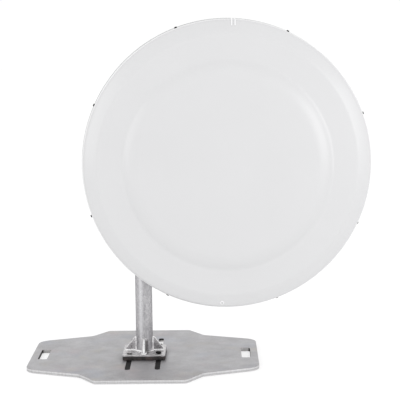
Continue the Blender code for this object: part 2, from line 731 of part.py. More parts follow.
def build_radome(dish):
    outer = radome_profile()
    inner = offset_inward(outer, RADOME_THICK)
    inner[0] = (inner[0][0], outer[0][1])
    inner[-1] = (0.0, RADOME_MIDDLE - RADOME_THICK)
    cover = list(reversed(outer)) + inner
    add_piece("radome", revolve(cover, DISH_SEGMENTS, closed=False), RADOME_WHITE, dish, rotation=FACING)


def build_rim_screws(dish):
    """Screw heads round the radome's skirt, seated on the flats between its edges."""
    profile = bolt_profile(RIM_SCREW_RADIUS, RIM_SCREW_HEIGHT, RIM_SCREW_RADIUS, 0.0)[:4]
    profile.append((0.0, 0.0))
    flat_radius = RADOME_SKIRT_RADIUS * cos(pi / DISH_SEGMENTS)
    seat = flat_radius + SEAT_GAP
    for i in range(RIM_SCREW_COUNT):
        angle = (i + 0.5) * 2 * pi / RIM_SCREW_COUNT
        place = (seat * sin(angle), -RIM_SCREW_FRONT, seat * cos(angle))
        screw = revolve(profile, RIM_SCREW_SEGMENTS, closed=False)
        add_piece(f"rim_screw_{i + 1}", screw, BLACK_STEEL, dish, location=place, rotation=(0, angle, 0))


def build_hub(dish):
    """Hub ring, the feed's rear flange and its port cover."""
    front = [reflector_face(r, REFLECTOR_THICK + SEAT_GAP) for r in spread(HUB_BORE, HUB_RADIUS, HUB_RINGS)]
    inner_rim = HUB_BORE + HUB_RIM_WIDTH
    outer_rim = HUB_RADIUS - HUB_RIM_WIDTH
    hub = front + [
        (front[-1][0], -HUB_BACK),
        (outer_rim, -HUB_BACK),
        (outer_rim, -HUB_BACK + HUB_RECESS_OUTER),
        (inner_rim, -HUB_BACK + HUB_RECESS_INNER),
        (inner_rim, -HUB_BACK),
        (front[0][0], -HUB_BACK),
    ]
    add_piece("hub_ring", revolve(hub, TUBE_SEGMENTS), CAST_ALUMINIUM, dish, rotation=FACING)

    neck_front = reflector_face(REFLECTOR_BORE)[1]
    boss = [
        (FEED_NECK_RADIUS, neck_front),
        (FEED_NECK_RADIUS, -FEED_NECK_BACK),
        (FEED_BOSS_RADIUS, -HUB_BACK),
        (FEED_BOSS_RADIUS, -FEED_BOSS_BACK),
        (FEED_BORE, -FEED_BOSS_BACK),
        (FEED_BORE, neck_front),
    ]
    add_piece("feed_boss", revolve(boss, FEED_SEGMENTS), CAST_ALUMINIUM, dish, rotation=FACING)
    cover_low = -FEED_BOSS_BACK - SEAT_GAP
    edge_in, edge_deep = PORT_COVER_EDGE
    cover = [
        (0.0, cover_low),
        (PORT_COVER_RADIUS, cover_low),
        (PORT_COVER_RADIUS, cover_low - PORT_COVER_THICK + edge_deep),
        (PORT_COVER_RADIUS - edge_in, cover_low - PORT_COVER_THICK),
        (0.0, cover_low - PORT_COVER_THICK),
    ]
    add_piece("port_cover", revolve(cover, CAP_SEGMENTS, closed=False), BLACK_RUBBER, dish, rotation=FACING)


def main():
    clear_scene()
    build_ground_plate()
    build_slide_bars()
    build_mast_foot()
    build_mast()
    head = add_empty("head", (0, 0, 0), (0, 0, AZIMUTH_TURN))
    build_pipe_clamp(head)
    build_arm(head)
    build_elevation_bracket(head)
    dish = add_empty("dish", (DISH_OFFSET_X, DISH_RIM_Y, DISH_HEIGHT), (0, DISH_ROLL, 0), head)
    build_reflector(dish)
    build_radome(dish)
    build_rim_screws(dish)
    build_hub(dish)


main()
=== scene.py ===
"""Looks of a parabolic dish antenna: a dish with a white radome on a galvanised mast and ground plate.

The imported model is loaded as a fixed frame, in metres, +Z up, the dish facing -Y. Each operator models
one piece, or a group of like pieces, over its plain solid and gives it its finish.
"""

from functools import partial
from math import cos, pi, radians, sin, sqrt, tan

import bmesh
import bpy
from bpy.props import FloatProperty, FloatVectorProperty, IntProperty, PointerProperty
from bpy.types import Operator, Panel, PropertyGroup
from mathutils import Matrix, Vector


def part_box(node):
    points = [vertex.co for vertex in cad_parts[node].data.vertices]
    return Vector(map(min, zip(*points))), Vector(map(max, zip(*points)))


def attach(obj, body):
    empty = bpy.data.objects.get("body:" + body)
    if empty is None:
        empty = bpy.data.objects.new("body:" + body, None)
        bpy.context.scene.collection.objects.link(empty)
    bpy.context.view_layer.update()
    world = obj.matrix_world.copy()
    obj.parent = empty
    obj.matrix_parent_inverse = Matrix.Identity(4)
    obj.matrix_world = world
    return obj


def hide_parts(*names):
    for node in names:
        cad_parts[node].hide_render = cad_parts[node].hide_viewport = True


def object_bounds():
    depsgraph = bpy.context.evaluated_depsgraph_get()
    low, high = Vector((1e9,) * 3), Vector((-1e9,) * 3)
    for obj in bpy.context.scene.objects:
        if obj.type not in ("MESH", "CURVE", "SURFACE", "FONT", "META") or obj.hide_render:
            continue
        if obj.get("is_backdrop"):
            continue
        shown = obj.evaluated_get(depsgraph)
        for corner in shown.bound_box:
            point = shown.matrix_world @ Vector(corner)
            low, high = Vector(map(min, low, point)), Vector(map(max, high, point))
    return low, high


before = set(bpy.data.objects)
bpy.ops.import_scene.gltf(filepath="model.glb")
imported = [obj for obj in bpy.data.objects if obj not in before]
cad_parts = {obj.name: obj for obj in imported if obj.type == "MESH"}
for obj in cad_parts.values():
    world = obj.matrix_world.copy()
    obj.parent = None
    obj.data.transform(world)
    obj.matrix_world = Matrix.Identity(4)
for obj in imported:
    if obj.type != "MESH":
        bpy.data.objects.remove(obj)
CAD_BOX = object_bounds()

bl_info = {
    "name": "Dish antenna on a ground plate",
    "version": (1, 0, 0),
    "blender": (4, 5, 0),
    "location": "3D View > Sidebar > Antenna",
    "description": "Models a parabolic dish antenna with its radome, mast and steel ground plate",
    "category": "Add Mesh",
}

MM = 0.001
SEAT_GAP = 0.3 * MM

PLATE_LOW, PLATE_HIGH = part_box("ground_plate")
BAR_LOW, BAR_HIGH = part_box("slide_bar_right")
PAD_LOW, PAD_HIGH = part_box("flange_pad")
FLANGE_LOW, FLANGE_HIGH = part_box("mast_flange")
TUBE_LOW, TUBE_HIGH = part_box("mast_tube")
CAP_LOW, CAP_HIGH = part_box("mast_cap")
BOLT_LOW, BOLT_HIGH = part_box("flange_bolt_front_right")
GUSSET_LOW, GUSSET_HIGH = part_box("gusset_right")

PLATE_CENTRE_Y = (PLATE_LOW.y + PLATE_HIGH.y) / 2
PLATE_THICK = PLATE_HIGH.z - PLATE_LOW.z
PILOT_Y = 333 * MM
TUBE_RADIUS = (TUBE_HIGH.x - TUBE_LOW.x) / 2
SLOT_X = (BAR_LOW.x + BAR_HIGH.x) / 2
BOLT_Y = 53 * MM
BOLT_PLACES = [(sx * SLOT_X, sy * BOLT_Y) for sy in (-1, 1) for sx in (-1, 1)]
BOLT_HOLE = 6.2 * MM

# Places on the head, in front of the mast, before the head is turned
WEB_BACK_Y = -45.2 * MM
WEB_FRONT_Y = -51.2 * MM
SHELF_FRONT_Y = -104 * MM
SHELF_IN = 55.3 * MM
SHELF_OUT = 63.3 * MM
BRACKET_HALF_WIDTH = 62.5 * MM
BRACKET_HALF_HEIGHT = 118 * MM
ARM_FRONT_Y = -105 * MM
ARM_BACK_Y = -56 * MM
ARM_HALF_HEIGHT = 55 * MM
ARM_START_X = 12 * MM
ARM_BEND = 8 * MM
ARM_END_PLATE = 8 * MM
WALL = 6 * MM
PIN_X, PIN_Y, PIN_HOLE = 37 * MM, -80 * MM, 8.4 * MM
ADJUSTER_X, ADJUSTER_HOLE = 115 * MM, 5.4 * MM
LEG_X, LEG_HOLE = TUBE_RADIUS + 5.3 * MM, 5.5 * MM
PIVOT_Y, PIVOT_DROP, PIVOT_HOLE = -30 * MM, 45 * MM, 6.4 * MM
EAR_HALF_WIDTH = 62 * MM
EAR_BACK_Y = 12 * MM
EAR_HALF_HEIGHT = 85 * MM

# The dish: radii, and distances behind its rim
HUB_RADIUS = 140 * MM
HUB_BORE = 52.5 * MM
HUB_BACK = 173 * MM
HUB_RIM = 14 * MM
HUB_STEP = 4.2 * MM
BORE_RADIUS = 50 * MM
REFLECTOR_RADIUS = 466 * MM
REFLECTOR_DEPTH = 154 * MM
REFLECTOR_THICK = 2.5 * MM
RIM_BACK = 8 * MM
SKIRT_EDGE = 473 * MM
SCREWS = 8

# Weld drops are laid so many drop radii apart
DROP_STEP = 0.62
SHARP = radians(35)
# Stands a slab on edge, its outline in Y and Z and its thickness along X
ALONG_X = Matrix(((0, 0, 1, 0), (1, 0, 0, 0), (0, 1, 0, 0), (0, 0, 0, 1)))
# A Mix node of colours, and its output for them
RGBA = {"out": 2, "data_type": "RGBA"}


def linear(hex_colour):
    """Turn an sRGB hex value into linear red, green and blue."""
    parts = [int(hex_colour[i:i + 2], 16) / 255 for i in (1, 3, 5)]
    return [part / 12.92 if part <= 0.04045 else ((part + 0.055) / 1.055) ** 2.4 for part in parts]


def length_property(name, description, default):
    return FloatProperty(name=name, description=description, default=default, unit="LENGTH", precision=4)


def angle_property(name, description, degrees):
    return FloatProperty(name=name, description=description, default=radians(degrees), subtype="ANGLE")


def level_property(name, description, default):
    return FloatProperty(name=name, description=description, default=default, min=0)


def colour_property(name, description, default):
    return FloatVectorProperty(name=name, description=description, default=linear(default), subtype="COLOR")


class GroundSettings(PropertyGroup):
    hand_slot_x: length_property("Hand slot place", "Middle of a hand slot, from the mast", 365.5 * MM)
    hand_slot_width: length_property("Hand slot width", "Width of a hand slot", 33 * MM)
    hand_slot_length: length_property("Hand slot length", "Length of a hand slot", 132 * MM)
    hand_slot_corner: length_property("Hand slot corner", "Radius of a hand slot's corners", 8 * MM)
    long_slot_width: length_property("Long slot width", "Width of the slots under the mast's foot", 18 * MM)
    long_slot_length: length_property("Long slot length", "Length of the slots under the foot", 435 * MM)
    pilot_radius: length_property("Pilot hole radius", "Radius of the holes beyond the slots", 3 * MM)
    edge_round: length_property("Edge rounding", "Rounding of the plate's cut edges", 1.5 * MM)


class MastSettings(PropertyGroup):
    wall: length_property("Tube wall", "Wall thickness of the mast tube", 3.9 * MM)
    gusset_thickness: length_property("Gusset thickness", "Thickness of a foot gusset", 9.5 * MM)
    bead_size: length_property("Weld bead", "Radius of a weld bead", 4.3 * MM)
    clamp_spread: length_property("Clamp spread", "Height of a U-bolt above the dish's middle", 96 * MM)


class DishSettings(PropertyGroup):
    azimuth: angle_property("Azimuth", "Turn of the head about the mast", 3)
    roll: angle_property("Roll", "Turn of the dish in its own plane", 2.5)
    offset: length_property("Offset", "Sideways distance from the mast to the dish's axis", 283.5 * MM)
    reach: length_property("Reach", "Distance from the mast forward to the dish's rim", 285 * MM)
    height: length_property("Height", "Height of the dish's middle", 734 * MM)
    skirt_radius: length_property("Skirt radius", "Outer radius of the radome", 477.5 * MM)
    rim_segments: IntProperty(name="Rim segments", description="Steps round the dish", default=192, min=32)


class FinishSettings(PropertyGroup):
    zinc_light: colour_property("Zinc, light", "Bright patches of the galvanised steel", "#bfbec0")
    zinc_dark: colour_property("Zinc, dark", "Dull patches of the galvanised steel", "#a09fa2")
    plate_light: colour_property("Plate, light", "Bright clouds on the ground plate", "#b8b8ba")
    plate_dark: colour_property("Plate, dark", "Dull clouds on the ground plate", "#a09ea0")
    radome: colour_property("Radome", "White of the moulded radome", "#cbcbcc")
    reflector: colour_property("Reflector", "Paint on the reflector's back", "#d2d3d3")


class StageSettings(PropertyGroup):
    lens: FloatProperty(name="Lens", description="Focal length of the camera", default=112.2, unit="CAMERA")
    backdrop: level_property("Backdrop", "Brightness of the backdrop as seen", 1.02)
    front: level_property("Front", "Light of the studio behind the camera", 1.16)
    side: level_property("Sides", "Light of the studio's sides", 1.16)
    back: level_property("Back", "Light of the backdrop", 1.05)
    top: level_property("Top", "Light of the studio's ceiling", 1.05)
    floor: level_property("Floor", "Glow of the pale floor", 0.52)
    key: level_property("Key light", "Power of the right softbox in watts", 23)
    fill: level_property("Fill light", "Power of the left softbox in watts", 14)
    rim: level_property("Rim light", "Power of the softbox behind the dish in watts", 6)


class AntennaSettings(PropertyGroup):
    ground: PointerProperty(type=GroundSettings)
    mast: PointerProperty(type=MastSettings)
    dish: PointerProperty(type=DishSettings)
    finish: PointerProperty(type=FinishSettings)
    stage: PointerProperty(type=StageSettings)


def settings(part):
    return getattr(bpy.context.scene.antenna_settings, part)


def mm(*points):
    """Points given in millimetres, with or without a corner's radius."""
    return [tuple(number * MM for number in point) for point in points]


def spaced(first, last, steps):
    """Evenly spaced numbers from the first to the last."""
    return [first + (last - first) * i / steps for i in range(steps + 1)]


def at(x, y, z):
    return Matrix.Translation((x, y, z))


def turn(angle, axis):
    return Matrix.Rotation(angle, 4, axis)


def aimed(way):
    """The turn that points a shape's Z along the given way."""
    return way.to_track_quat("Z", "Y").to_matrix().to_4x4()


def head_place():
    return turn(settings("dish").azimuth, "Z")


def dish_place():
    """From the dish's own frame, forward along Z and up along Y, to its place on the mast."""
    dish = settings("dish")
    return head_place() @ at(dish.offset, -dish.reach, dish.height) @ turn(dish.roll, "Y") @ turn(pi / 2, "X")


def hub_front():
    return -settings("dish").reach + HUB_BACK + SEAT_GAP


def ear_left():
    return settings("dish").offset - EAR_HALF_WIDTH


def only(obj):
    """Make one object the selected and active one."""
    bpy.ops.object.select_all(action="DESELECT")
    obj.select_set(True)
    bpy.context.view_layer.objects.active = obj


def edit(obj):
    only(obj)
    bpy.ops.object.mode_set(mode="EDIT")
    return obj


def done(obj):
    bpy.ops.object.mode_set(mode="OBJECT")
    return obj


def put(obj, place):
    """Move a finished shape to its place and apply it, so that the object stays at the origin."""
    only(obj)
    obj.matrix_world = place
    bpy.ops.object.transform_apply()
    return obj


def primitive(kind, name, **options):
    """Add a primitive with nothing else selected, and keep its place in its mesh."""
    bpy.ops.object.select_all(action="DESELECT")
    getattr(bpy.ops.mesh, f"primitive_{kind}_add")(**options)
    obj = bpy.context.object
    obj.name = name
    return put(obj, obj.matrix_world.copy())


def pick(obj, kind, test):
    """In edit mode, select only the vertices, edges or faces that pass the test."""
    bpy.ops.mesh.select_mode(type=kind)
    bpy.ops.mesh.select_all(action="DESELECT")
    mesh = bmesh.from_edit_mesh(obj.data)
    for item in {"VERT": mesh.verts, "EDGE": mesh.edges, "FACE": mesh.faces}[kind]:
        if test(item):
            item.select_set(True)
    mesh.select_flush_mode()
    bmesh.update_edit_mesh(obj.data)


def near(vertex, place, reach=0.02 * MM):
    return (vertex.co - Vector(place)).length < reach


def along(edge, axis, tolerance=0.001):
    """True if an edge runs along the axis, given by its letter."""
    way = (edge.verts[1].co - edge.verts[0].co).normalized()
    return abs(way["XYZ".index(axis)]) > 1 - tolerance


def close(obj):
    """Weld what meets, turn the faces outwards and leave edit mode."""
    bpy.ops.mesh.select_all(action="SELECT")
    bpy.ops.mesh.remove_doubles(threshold=0.005 * MM)
    bpy.ops.mesh.normals_make_consistent(inside=False)
    return done(obj)


def rounded(obj, test, radius, steps=8):
    """Round the edges that pass the test."""
    pick(edit(obj), "EDGE", test)
    bpy.ops.mesh.bevel(offset=radius, segments=steps, affect="EDGES")
    return close(obj)


def drawn(name, points):
    """A line drawn by extruding one vertex from point to point, open in edit mode."""
    obj = edit(primitive("plane", name, size=1))
    bpy.ops.mesh.select_all(action="SELECT")
    bpy.ops.mesh.merge(type="CENTER")
    bpy.ops.transform.translate(value=points[0])
    for here, there in zip(points, points[1:]):
        bpy.ops.mesh.extrude_region_move(TRANSFORM_OT_translate={"value": Vector(there) - Vector(here)})
    return obj


def turned(name, profile, segments):
    """Spin (radius, height) points about Z. A third number rounds that corner by so much."""
    line = [(point[0], 0.0, point[1]) for point in profile]
    obj = drawn(name, line)
    if profile[0][0] > 0 and profile[-1][0] > 0:
        pick(obj, "VERT", lambda v: near(v, line[0]) or near(v, line[-1]))
        bpy.ops.mesh.edge_face_add()
    for radius, height, *corner in profile:
        if corner:
            pick(obj, "VERT", lambda v: near(v, (radius, 0.0, height)))
            bpy.ops.mesh.bevel(offset=corner[0], segments=4, affect="VERTICES")
    bpy.ops.mesh.select_all(action="SELECT")
    bpy.ops.mesh.spin(steps=segments, angle=2 * pi, center=(0, 0, 0), axis=(0, 0, 1))
    return smoothed(close(obj))


def slab(name, corners, thickness, place, steps=6):
    """A plate of (x, y) corners that grows up from z = 0. A third number is a corner's radius."""
    obj = edit(primitive("circle", name, vertices=len(corners), radius=1, fill_type="NGON"))
    starts = [v.co.copy() for v in bmesh.from_edit_mesh(obj.data).verts]
    for start, corner in zip(starts, corners):
        pick(obj, "VERT", lambda v: near(v, start))
        bpy.ops.transform.translate(value=Vector((*corner[:2], 0.0)) - start)
    for i, (x, y, *radius) in enumerate(corners):
        if not radius:
            continue
        beside = [Vector(corners[j % len(corners)][:2]) - Vector((x, y)) for j in (i - 1, i + 1)]
        half = beside[0].angle(beside[1]) / 2
        pick(obj, "VERT", lambda v: near(v, (x, y, 0.0)))
        bpy.ops.mesh.bevel(offset=radius[0] / tan(half), segments=steps, affect="VERTICES")
    bpy.ops.mesh.select_all(action="SELECT")
    bpy.ops.mesh.extrude_region_move(TRANSFORM_OT_translate={"value": (0, 0, thickness)})
    return put(close(obj), place)


def rectangle(half_width, half_length, corner):
    signs = ((1, 1), (-1, 1), (-1, -1), (1, -1))
    return [(sx * half_width, sy * half_length, corner) for sx, sy in signs]


def drill(centre, axis, reach, radius, vertices=32):
    """A round bar through a point along the axis, given by its letter, as far as the reach each way."""
    bar = primitive("cylinder", "drill", vertices=vertices, radius=radius, depth=2 * reach)
    return put(bar, at(*centre) @ aimed(Vector([float(letter == axis) for letter in "XYZ"])))


def slot_cutter(x, y, width, length, low, high):
    """A slot's shape along Y: a cylinder whose two halves are moved apart."""
    sides = 48
    obj = edit(primitive(
        "cylinder", "slot", vertices=sides, radius=width / 2, depth=high - low,
        location=(x, y, (low + high) / 2), rotation=(0, 0, pi / sides),
    ))
    for side in (-1, 1):
        pick(obj, "VERT", lambda v: (v.co.y - y) * side > 0)
        bpy.ops.transform.translate(value=(0, side * (length - width) / 2, 0))
    return done(obj)


def joined(first, *others):
    """Several shapes as one object."""
    only(first)
    for other in others:
        other.select_set(True)
    bpy.ops.object.join()
    return first


def modified(obj, kind, **options):
    """Apply a modifier to a shape."""
    only(obj)
    modifier = obj.modifiers.new(kind.title(), kind)
    for key, value in options.items():
        setattr(modifier, key, value)
    bpy.ops.object.modifier_apply(modifier=modifier.name)
    return obj


def shaped(obj, operation, *tools):
    """Cut the tools from a shape, or weld them on, and remove them."""
    tool = joined(*tools)
    modified(obj, "BOOLEAN", operation=operation, solver="EXACT", object=tool)
    bpy.data.objects.remove(tool)
    return obj


def smoothed(obj, angle=SHARP):
    only(obj)
    bpy.ops.object.shade_smooth_by_angle(angle=angle)
    return obj


def softened(obj, width, segments=3):
    """Round the sharp edges, then shade the curved faces smooth."""
    return smoothed(modified(obj, "BEVEL", width=width, segments=segments, limit_method="ANGLE", angle_limit=SHARP))


def copied(obj, name, place):
    """A copy with its own mesh, moved by the given matrix."""
    only(obj)
    bpy.ops.object.duplicate()
    copy = bpy.context.object
    copy.name = name
    return put(copy, place)


def dress(obj, name, slot, *finishes):
    """Give a piece its finishes and tie it to the frame."""
    mesh = bmesh.new()
    mesh.from_mesh(obj.data)
    is_open = any(not edge.is_manifold for edge in mesh.edges)
    mesh.free()
    if is_open:
        raise RuntimeError(f"{name} isn't closed")
    obj.name = name
    obj.data.name = name
    for finish in finishes:
        obj.data.materials.append(finish())
    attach(obj, "root")
    return obj


def stand_in(obj, node, kind, slot, *finishes):
    """Dress a piece and show it in place of its node."""
    dress(obj, f"{node}_{kind}", slot, *finishes)
    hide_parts(node)
    return obj


def painted(obj, *tests):
    """Give the faces that pass each test the next of the piece's finishes, after the first."""
    edit(obj)
    for index, test in enumerate(tests, start=1):
        pick(obj, "FACE", test)
        obj.active_material_index = index
        bpy.ops.object.material_slot_assign()
    return done(obj)


def stud(name, radius, top, low, thread_top):
    """A round shank down to z = low, its thread turned as rings below thread_top, with a chamfered end."""
    pitch = 1.5 * MM
    start = thread_top - 0.1 * MM
    profile = [(0.0, top), (radius, top), (radius, thread_top)]
    for i in range(int((start - low - 2 * MM) / pitch)):
        z = start - i * pitch
        profile += [(radius - 0.6 * pitch, z), (radius, z - pitch / 2)]
    profile += [(radius - 0.4 * MM, low + 0.8 * MM), (radius - 1.2 * MM, low), (0.0, low)]
    return turned(name, profile, segments=20)


def hexagon(name, across_flats, low, high, bore=0.0):
    """A hexagon head or nut, its corners cut back by the round chamfer of forging."""
    corner, flat = across_flats / sqrt(3), 0.475 * across_flats
    depth = high - low + 2 * MM
    obj = primitive("cylinder", name, vertices=6, radius=corner, depth=depth, location=(0, 0, (low + high) / 2))
    drop = (corner - flat) * tan(radians(30))
    outer = corner + 0.1 * MM
    foot = [(outer, low + drop), (flat, low)] if bore else [(outer, low)]
    round_view = [(bore, high), (flat, high), (outer, high - drop), *foot, (bore, low)]
    form = turned(name + "_round", round_view, segments=48)
    return softened(shaped(obj, "INTERSECT", form), 0.25 * MM, segments=2)


def washer(name, radius, bore, low, high):
    edge = 0.3 * MM
    rim = [(radius - edge, high), (radius, high - edge), (radius, low + edge), (radius - edge, low)]
    return turned(name, [(bore, low), (bore, high), *rim], segments=32)


def bolt(name, flats, head, radius, length, grip=0.0, thin=2 * MM):
    """A hexagon bolt that points down from z = 0, with a washer, and with a nut under the grip."""
    wide, loose = 0.62 * flats, radius + 0.2 * MM
    parts = [
        washer(name, wide, loose, 0.0, thin),
        hexagon(name, flats, thin, thin + head),
        stud(name, radius, thin, -length, -grip if grip else -length / 2),
    ]
    if grip:
        nut_top = -grip - thin
        parts.append(washer(name, wide, loose, nut_top, -grip))
        parts.append(hexagon(name, flats, nut_top - head * 1.15, nut_top, bore=radius + 0.1 * MM))
    return smoothed(joined(*parts))


def weld_drop(size, place):
    return put(primitive("uv_sphere", "bead", segments=12, ring_count=8, radius=size), place)


def bead(start, end, size):
    """A straight weld bead: overlapping drops laid from point to point."""
    run = Vector(end) - Vector(start)
    count = max(2, round(run.length / (DROP_STEP * size)) + 1)
    drop = weld_drop(size, at(*start) @ aimed(run) @ Matrix.Diagonal((1.0, 1.0, 0.6, 1.0)))
    return modified(
        drop, "ARRAY", use_relative_offset=False, use_constant_offset=True,
        constant_offset_displace=run / (count - 1), count=count,
    )


def ring_bead(radius, height, size):
    """A weld bead round the mast: one drop spun about the axis as separate copies."""
    drop = edit(weld_drop(size, at(radius, 0, height) @ Matrix.Diagonal((1.0, 0.6, 1.0, 1.0))))
    bpy.ops.mesh.select_all(action="SELECT")
    count = round(2 * pi * radius / (DROP_STEP * size))
    turn_of_copies = 2 * pi * (count - 1) / count
    bpy.ops.mesh.spin(
        steps=count - 1, dupli=True, angle=turn_of_copies, center=(0, 0, height), axis=(0, 0, 1)
    )
    return done(drop)


def fused(obj, voxel):
    """Melt overlapping drops into one skin."""
    modified(obj, "REMESH", mode="VOXEL", voxel_size=voxel, use_smooth_shade=True)
    return modified(obj, "SMOOTH", iterations=2)


def feed(tree, socket, value):
    """Give an input a value, a hex colour, or the socket that feeds it."""
    if isinstance(value, bpy.types.NodeSocket):
        tree.links.new(value, socket)
    elif socket.type == "RGBA":
        socket.default_value = (*(linear(value) if isinstance(value, str) else value), 1.0)
    else:
        socket.default_value = value


def add_node(tree, kind, inputs=None, out=0, **options):
    """Add a node with its settings, feed its inputs and return one of its outputs."""
    node = tree.nodes.new("ShaderNode" + kind)
    for key, value in options.items():
        setattr(node, key, value)
    for key, value in (inputs or {}).items():
        feed(tree, node.inputs[key], value)
    return node.outputs[out]


def finish(looks):
    """Turn a function that gives a shader's inputs into one that gives the material, made on first use."""

    def material():
        name = looks.__name__
        if name in bpy.data.materials:
            return bpy.data.materials[name]
        made = bpy.data.materials.new(name)
        made.use_nodes = True
        tree = made.node_tree
        add = partial(add_node, tree)
        for key, value in looks(add, add("TexCoord", out="Object")).items():
            feed(tree, tree.nodes["Principled BSDF"].inputs[key], value)
        return made

    return material


@finish
def galvanised_plate_top(add, where):
    """Hot-dip galvanised plate, laid flat: soft grey clouds, faint stains, and painted shade darkening it before the
    foot.
    """
    tones = settings("finish")
    clouds = add("TexNoise", {"Vector": where, "Scale": 1 / 0.060, "Detail": 6.0, "Roughness": 0.62})
    grain = add("TexNoise", {"Vector": where, "Scale": 1 / 0.004, "Detail": 3.0, "Roughness": 0.7})
    share = add("Math", {0: clouds, 1: grain}, operation="ADD")
    level = add("MapRange", {"Value": share, "From Min": 0.55, "From Max": 1.45})
    colour = add("Mix", {0: level, 6: tones.plate_dark, 7: tones.plate_light}, **RGBA)
    for tint, size, offset in (("#b8abae", 0.120, 3.1), ("#a4a9b4", 0.160, 7.7), ("#b4afa4", 0.100, 12.3)):
        shifted = add("Mapping", {"Vector": where, "Location": (offset, offset, offset)})
        patch = add("TexNoise", {"Vector": shifted, "Scale": 1 / size, "Detail": 4.0})
        mask = add("MapRange", {"Value": patch, "From Min": 0.56, "From Max": 0.76, "To Max": 0.5})
        colour = add("Mix", {0: mask, 6: colour, 7: tint}, **RGBA)
    # Painted shade: a ragged darker patch in front of the foot, for the shadow and dark reflection of the mast and dish
    # above it
    before_foot = (0.03, -0.24, 0.0)
    away = add("VectorMath", {0: where, 1: before_foot}, out="Value", operation="DISTANCE")
    ragged = add("Math", {0: clouds, 1: 0.16, 2: away}, operation="MULTIPLY_ADD")
    shade_before_foot = add(
        "MapRange", {"Value": ragged, "From Min": 0.10, "From Max": 0.34, "To Min": 0.30, "To Max": 0.0},
        interpolation_type="SMOOTHSTEP",
    )
    colour = add("Mix", {0: shade_before_foot, 6: colour, 7: "#827e7f"}, **RGBA)
    rough = add("MapRange", {"Value": share, "From Min": 0.7, "From Max": 1.3, "To Min": 0.62, "To Max": 0.42})
    bump = add("Bump", {"Height": share, "Strength": 0.25, "Distance": 0.4 * MM})
    return {"Metallic": 0.85, "Base Color": colour, "Roughness": rough, "Normal": bump}


@finish
def galvanised_plate_edge(add, where):
    """Galvanised flame-cut edge: fine upright drag lines, and a darker line along a wandering seam."""
    upright = add("Mapping", {"Vector": where, "Scale": (1.0, 1.0, 0.06)})
    lines = add("TexNoise", {"Vector": upright, "Scale": 1 / 0.0030, "Detail": 3.0})
    drift = add("TexNoise", {"Vector": upright, "Scale": 1 / 0.045, "Detail": 3.0})
    height = add("SeparateXYZ", {"Vector": where}, out="Z")
    seam = add(
        "MapRange", {"Value": drift, "From Min": 0.3, "From Max": 0.7, "To Min": 3.2 * MM, "To Max": 5.6 * MM}
    )
    gap = add("Math", {0: height, 1: seam}, operation="SUBTRACT")
    away = add("Math", {0: gap}, operation="ABSOLUTE")
    shade = add("MapRange", {"Value": away, "From Max": 1.3 * MM, "To Min": 0.75, "To Max": 0.0})
    bright = add("Mix", {0: lines, 6: "#a5a4a5", 7: "#dfdfe0"}, **RGBA)
    colour = add("Mix", {0: shade, 6: bright, 7: "#757172"}, **RGBA)
    bump = add("Bump", {"Height": lines, "Strength": 0.5, "Distance": 0.3 * MM})
    return {"Metallic": 0.6, "Roughness": 0.5, "Base Color": colour, "Normal": bump}


@finish
def dull_arris(add, where):
    """The plate's arrises: a dull darker line, in patches."""
    patches = add("TexNoise", {"Vector": where, "Scale": 1 / 0.008, "Detail": 4.0})
    level = add("MapRange", {"Value": patches, "From Min": 0.35, "From Max": 0.65})
    colour = add("Mix", {0: level, 6: "#5b5453", 7: "#989291"}, **RGBA)
    return {"Metallic": 0.5, "Roughness": 0.6, "Base Color": colour}


@finish
def slot_wall_shade(add, where):
    """Walls of the long slots, with painted shade: near black at the top, fading to pale towards the bottom."""
    patches = add("TexNoise", {"Vector": where, "Scale": 1 / 0.018, "Detail": 4.0})
    height = add("SeparateXYZ", {"Vector": where}, out="Z")
    uneven = add("Math", {0: patches, 1: -9 * MM, 2: height}, operation="MULTIPLY_ADD")
    level = add(
        "MapRange", {"Value": uneven, "From Min": -3 * MM, "From Max": 3 * MM, "To Min": 1.0, "To Max": 0.0}
    )
    colour = add("Mix", {0: level, 6: "#0d0c0c", 7: "#e4e3e3"}, **RGBA)
    return {"Metallic": 0.2, "Roughness": 0.75, "Base Color": colour}


@finish
def grey_slot_wall(add, where):
    """Walls of the hand slots, galvanised grey, with painted shade in their outer corners."""
    patches = add("TexNoise", {"Vector": where, "Scale": 1 / 0.012, "Detail": 4.0})
    across = add("SeparateXYZ", {"Vector": where}, out="X")
    away = add("Math", {0: across}, operation="ABSOLUTE")
    uneven = add("Math", {0: patches, 1: 6 * MM, 2: away}, operation="MULTIPLY_ADD")
    # Painted shade: near black towards the hand slots' outer corners
    corner_shade = add(
        "MapRange", {"Value": uneven, "From Min": 377 * MM, "From Max": 384 * MM}, interpolation_type="SMOOTHSTEP"
    )
    clean = add("Mix", {0: patches, 6: "#807e7e", 7: "#c4c3c3"}, **RGBA)
    colour = add("Mix", {0: corner_shade, 6: clean, 7: "#1a1919"}, **RGBA)
    return {"Metallic": 0.2, "Roughness": 0.7, "Base Color": colour}


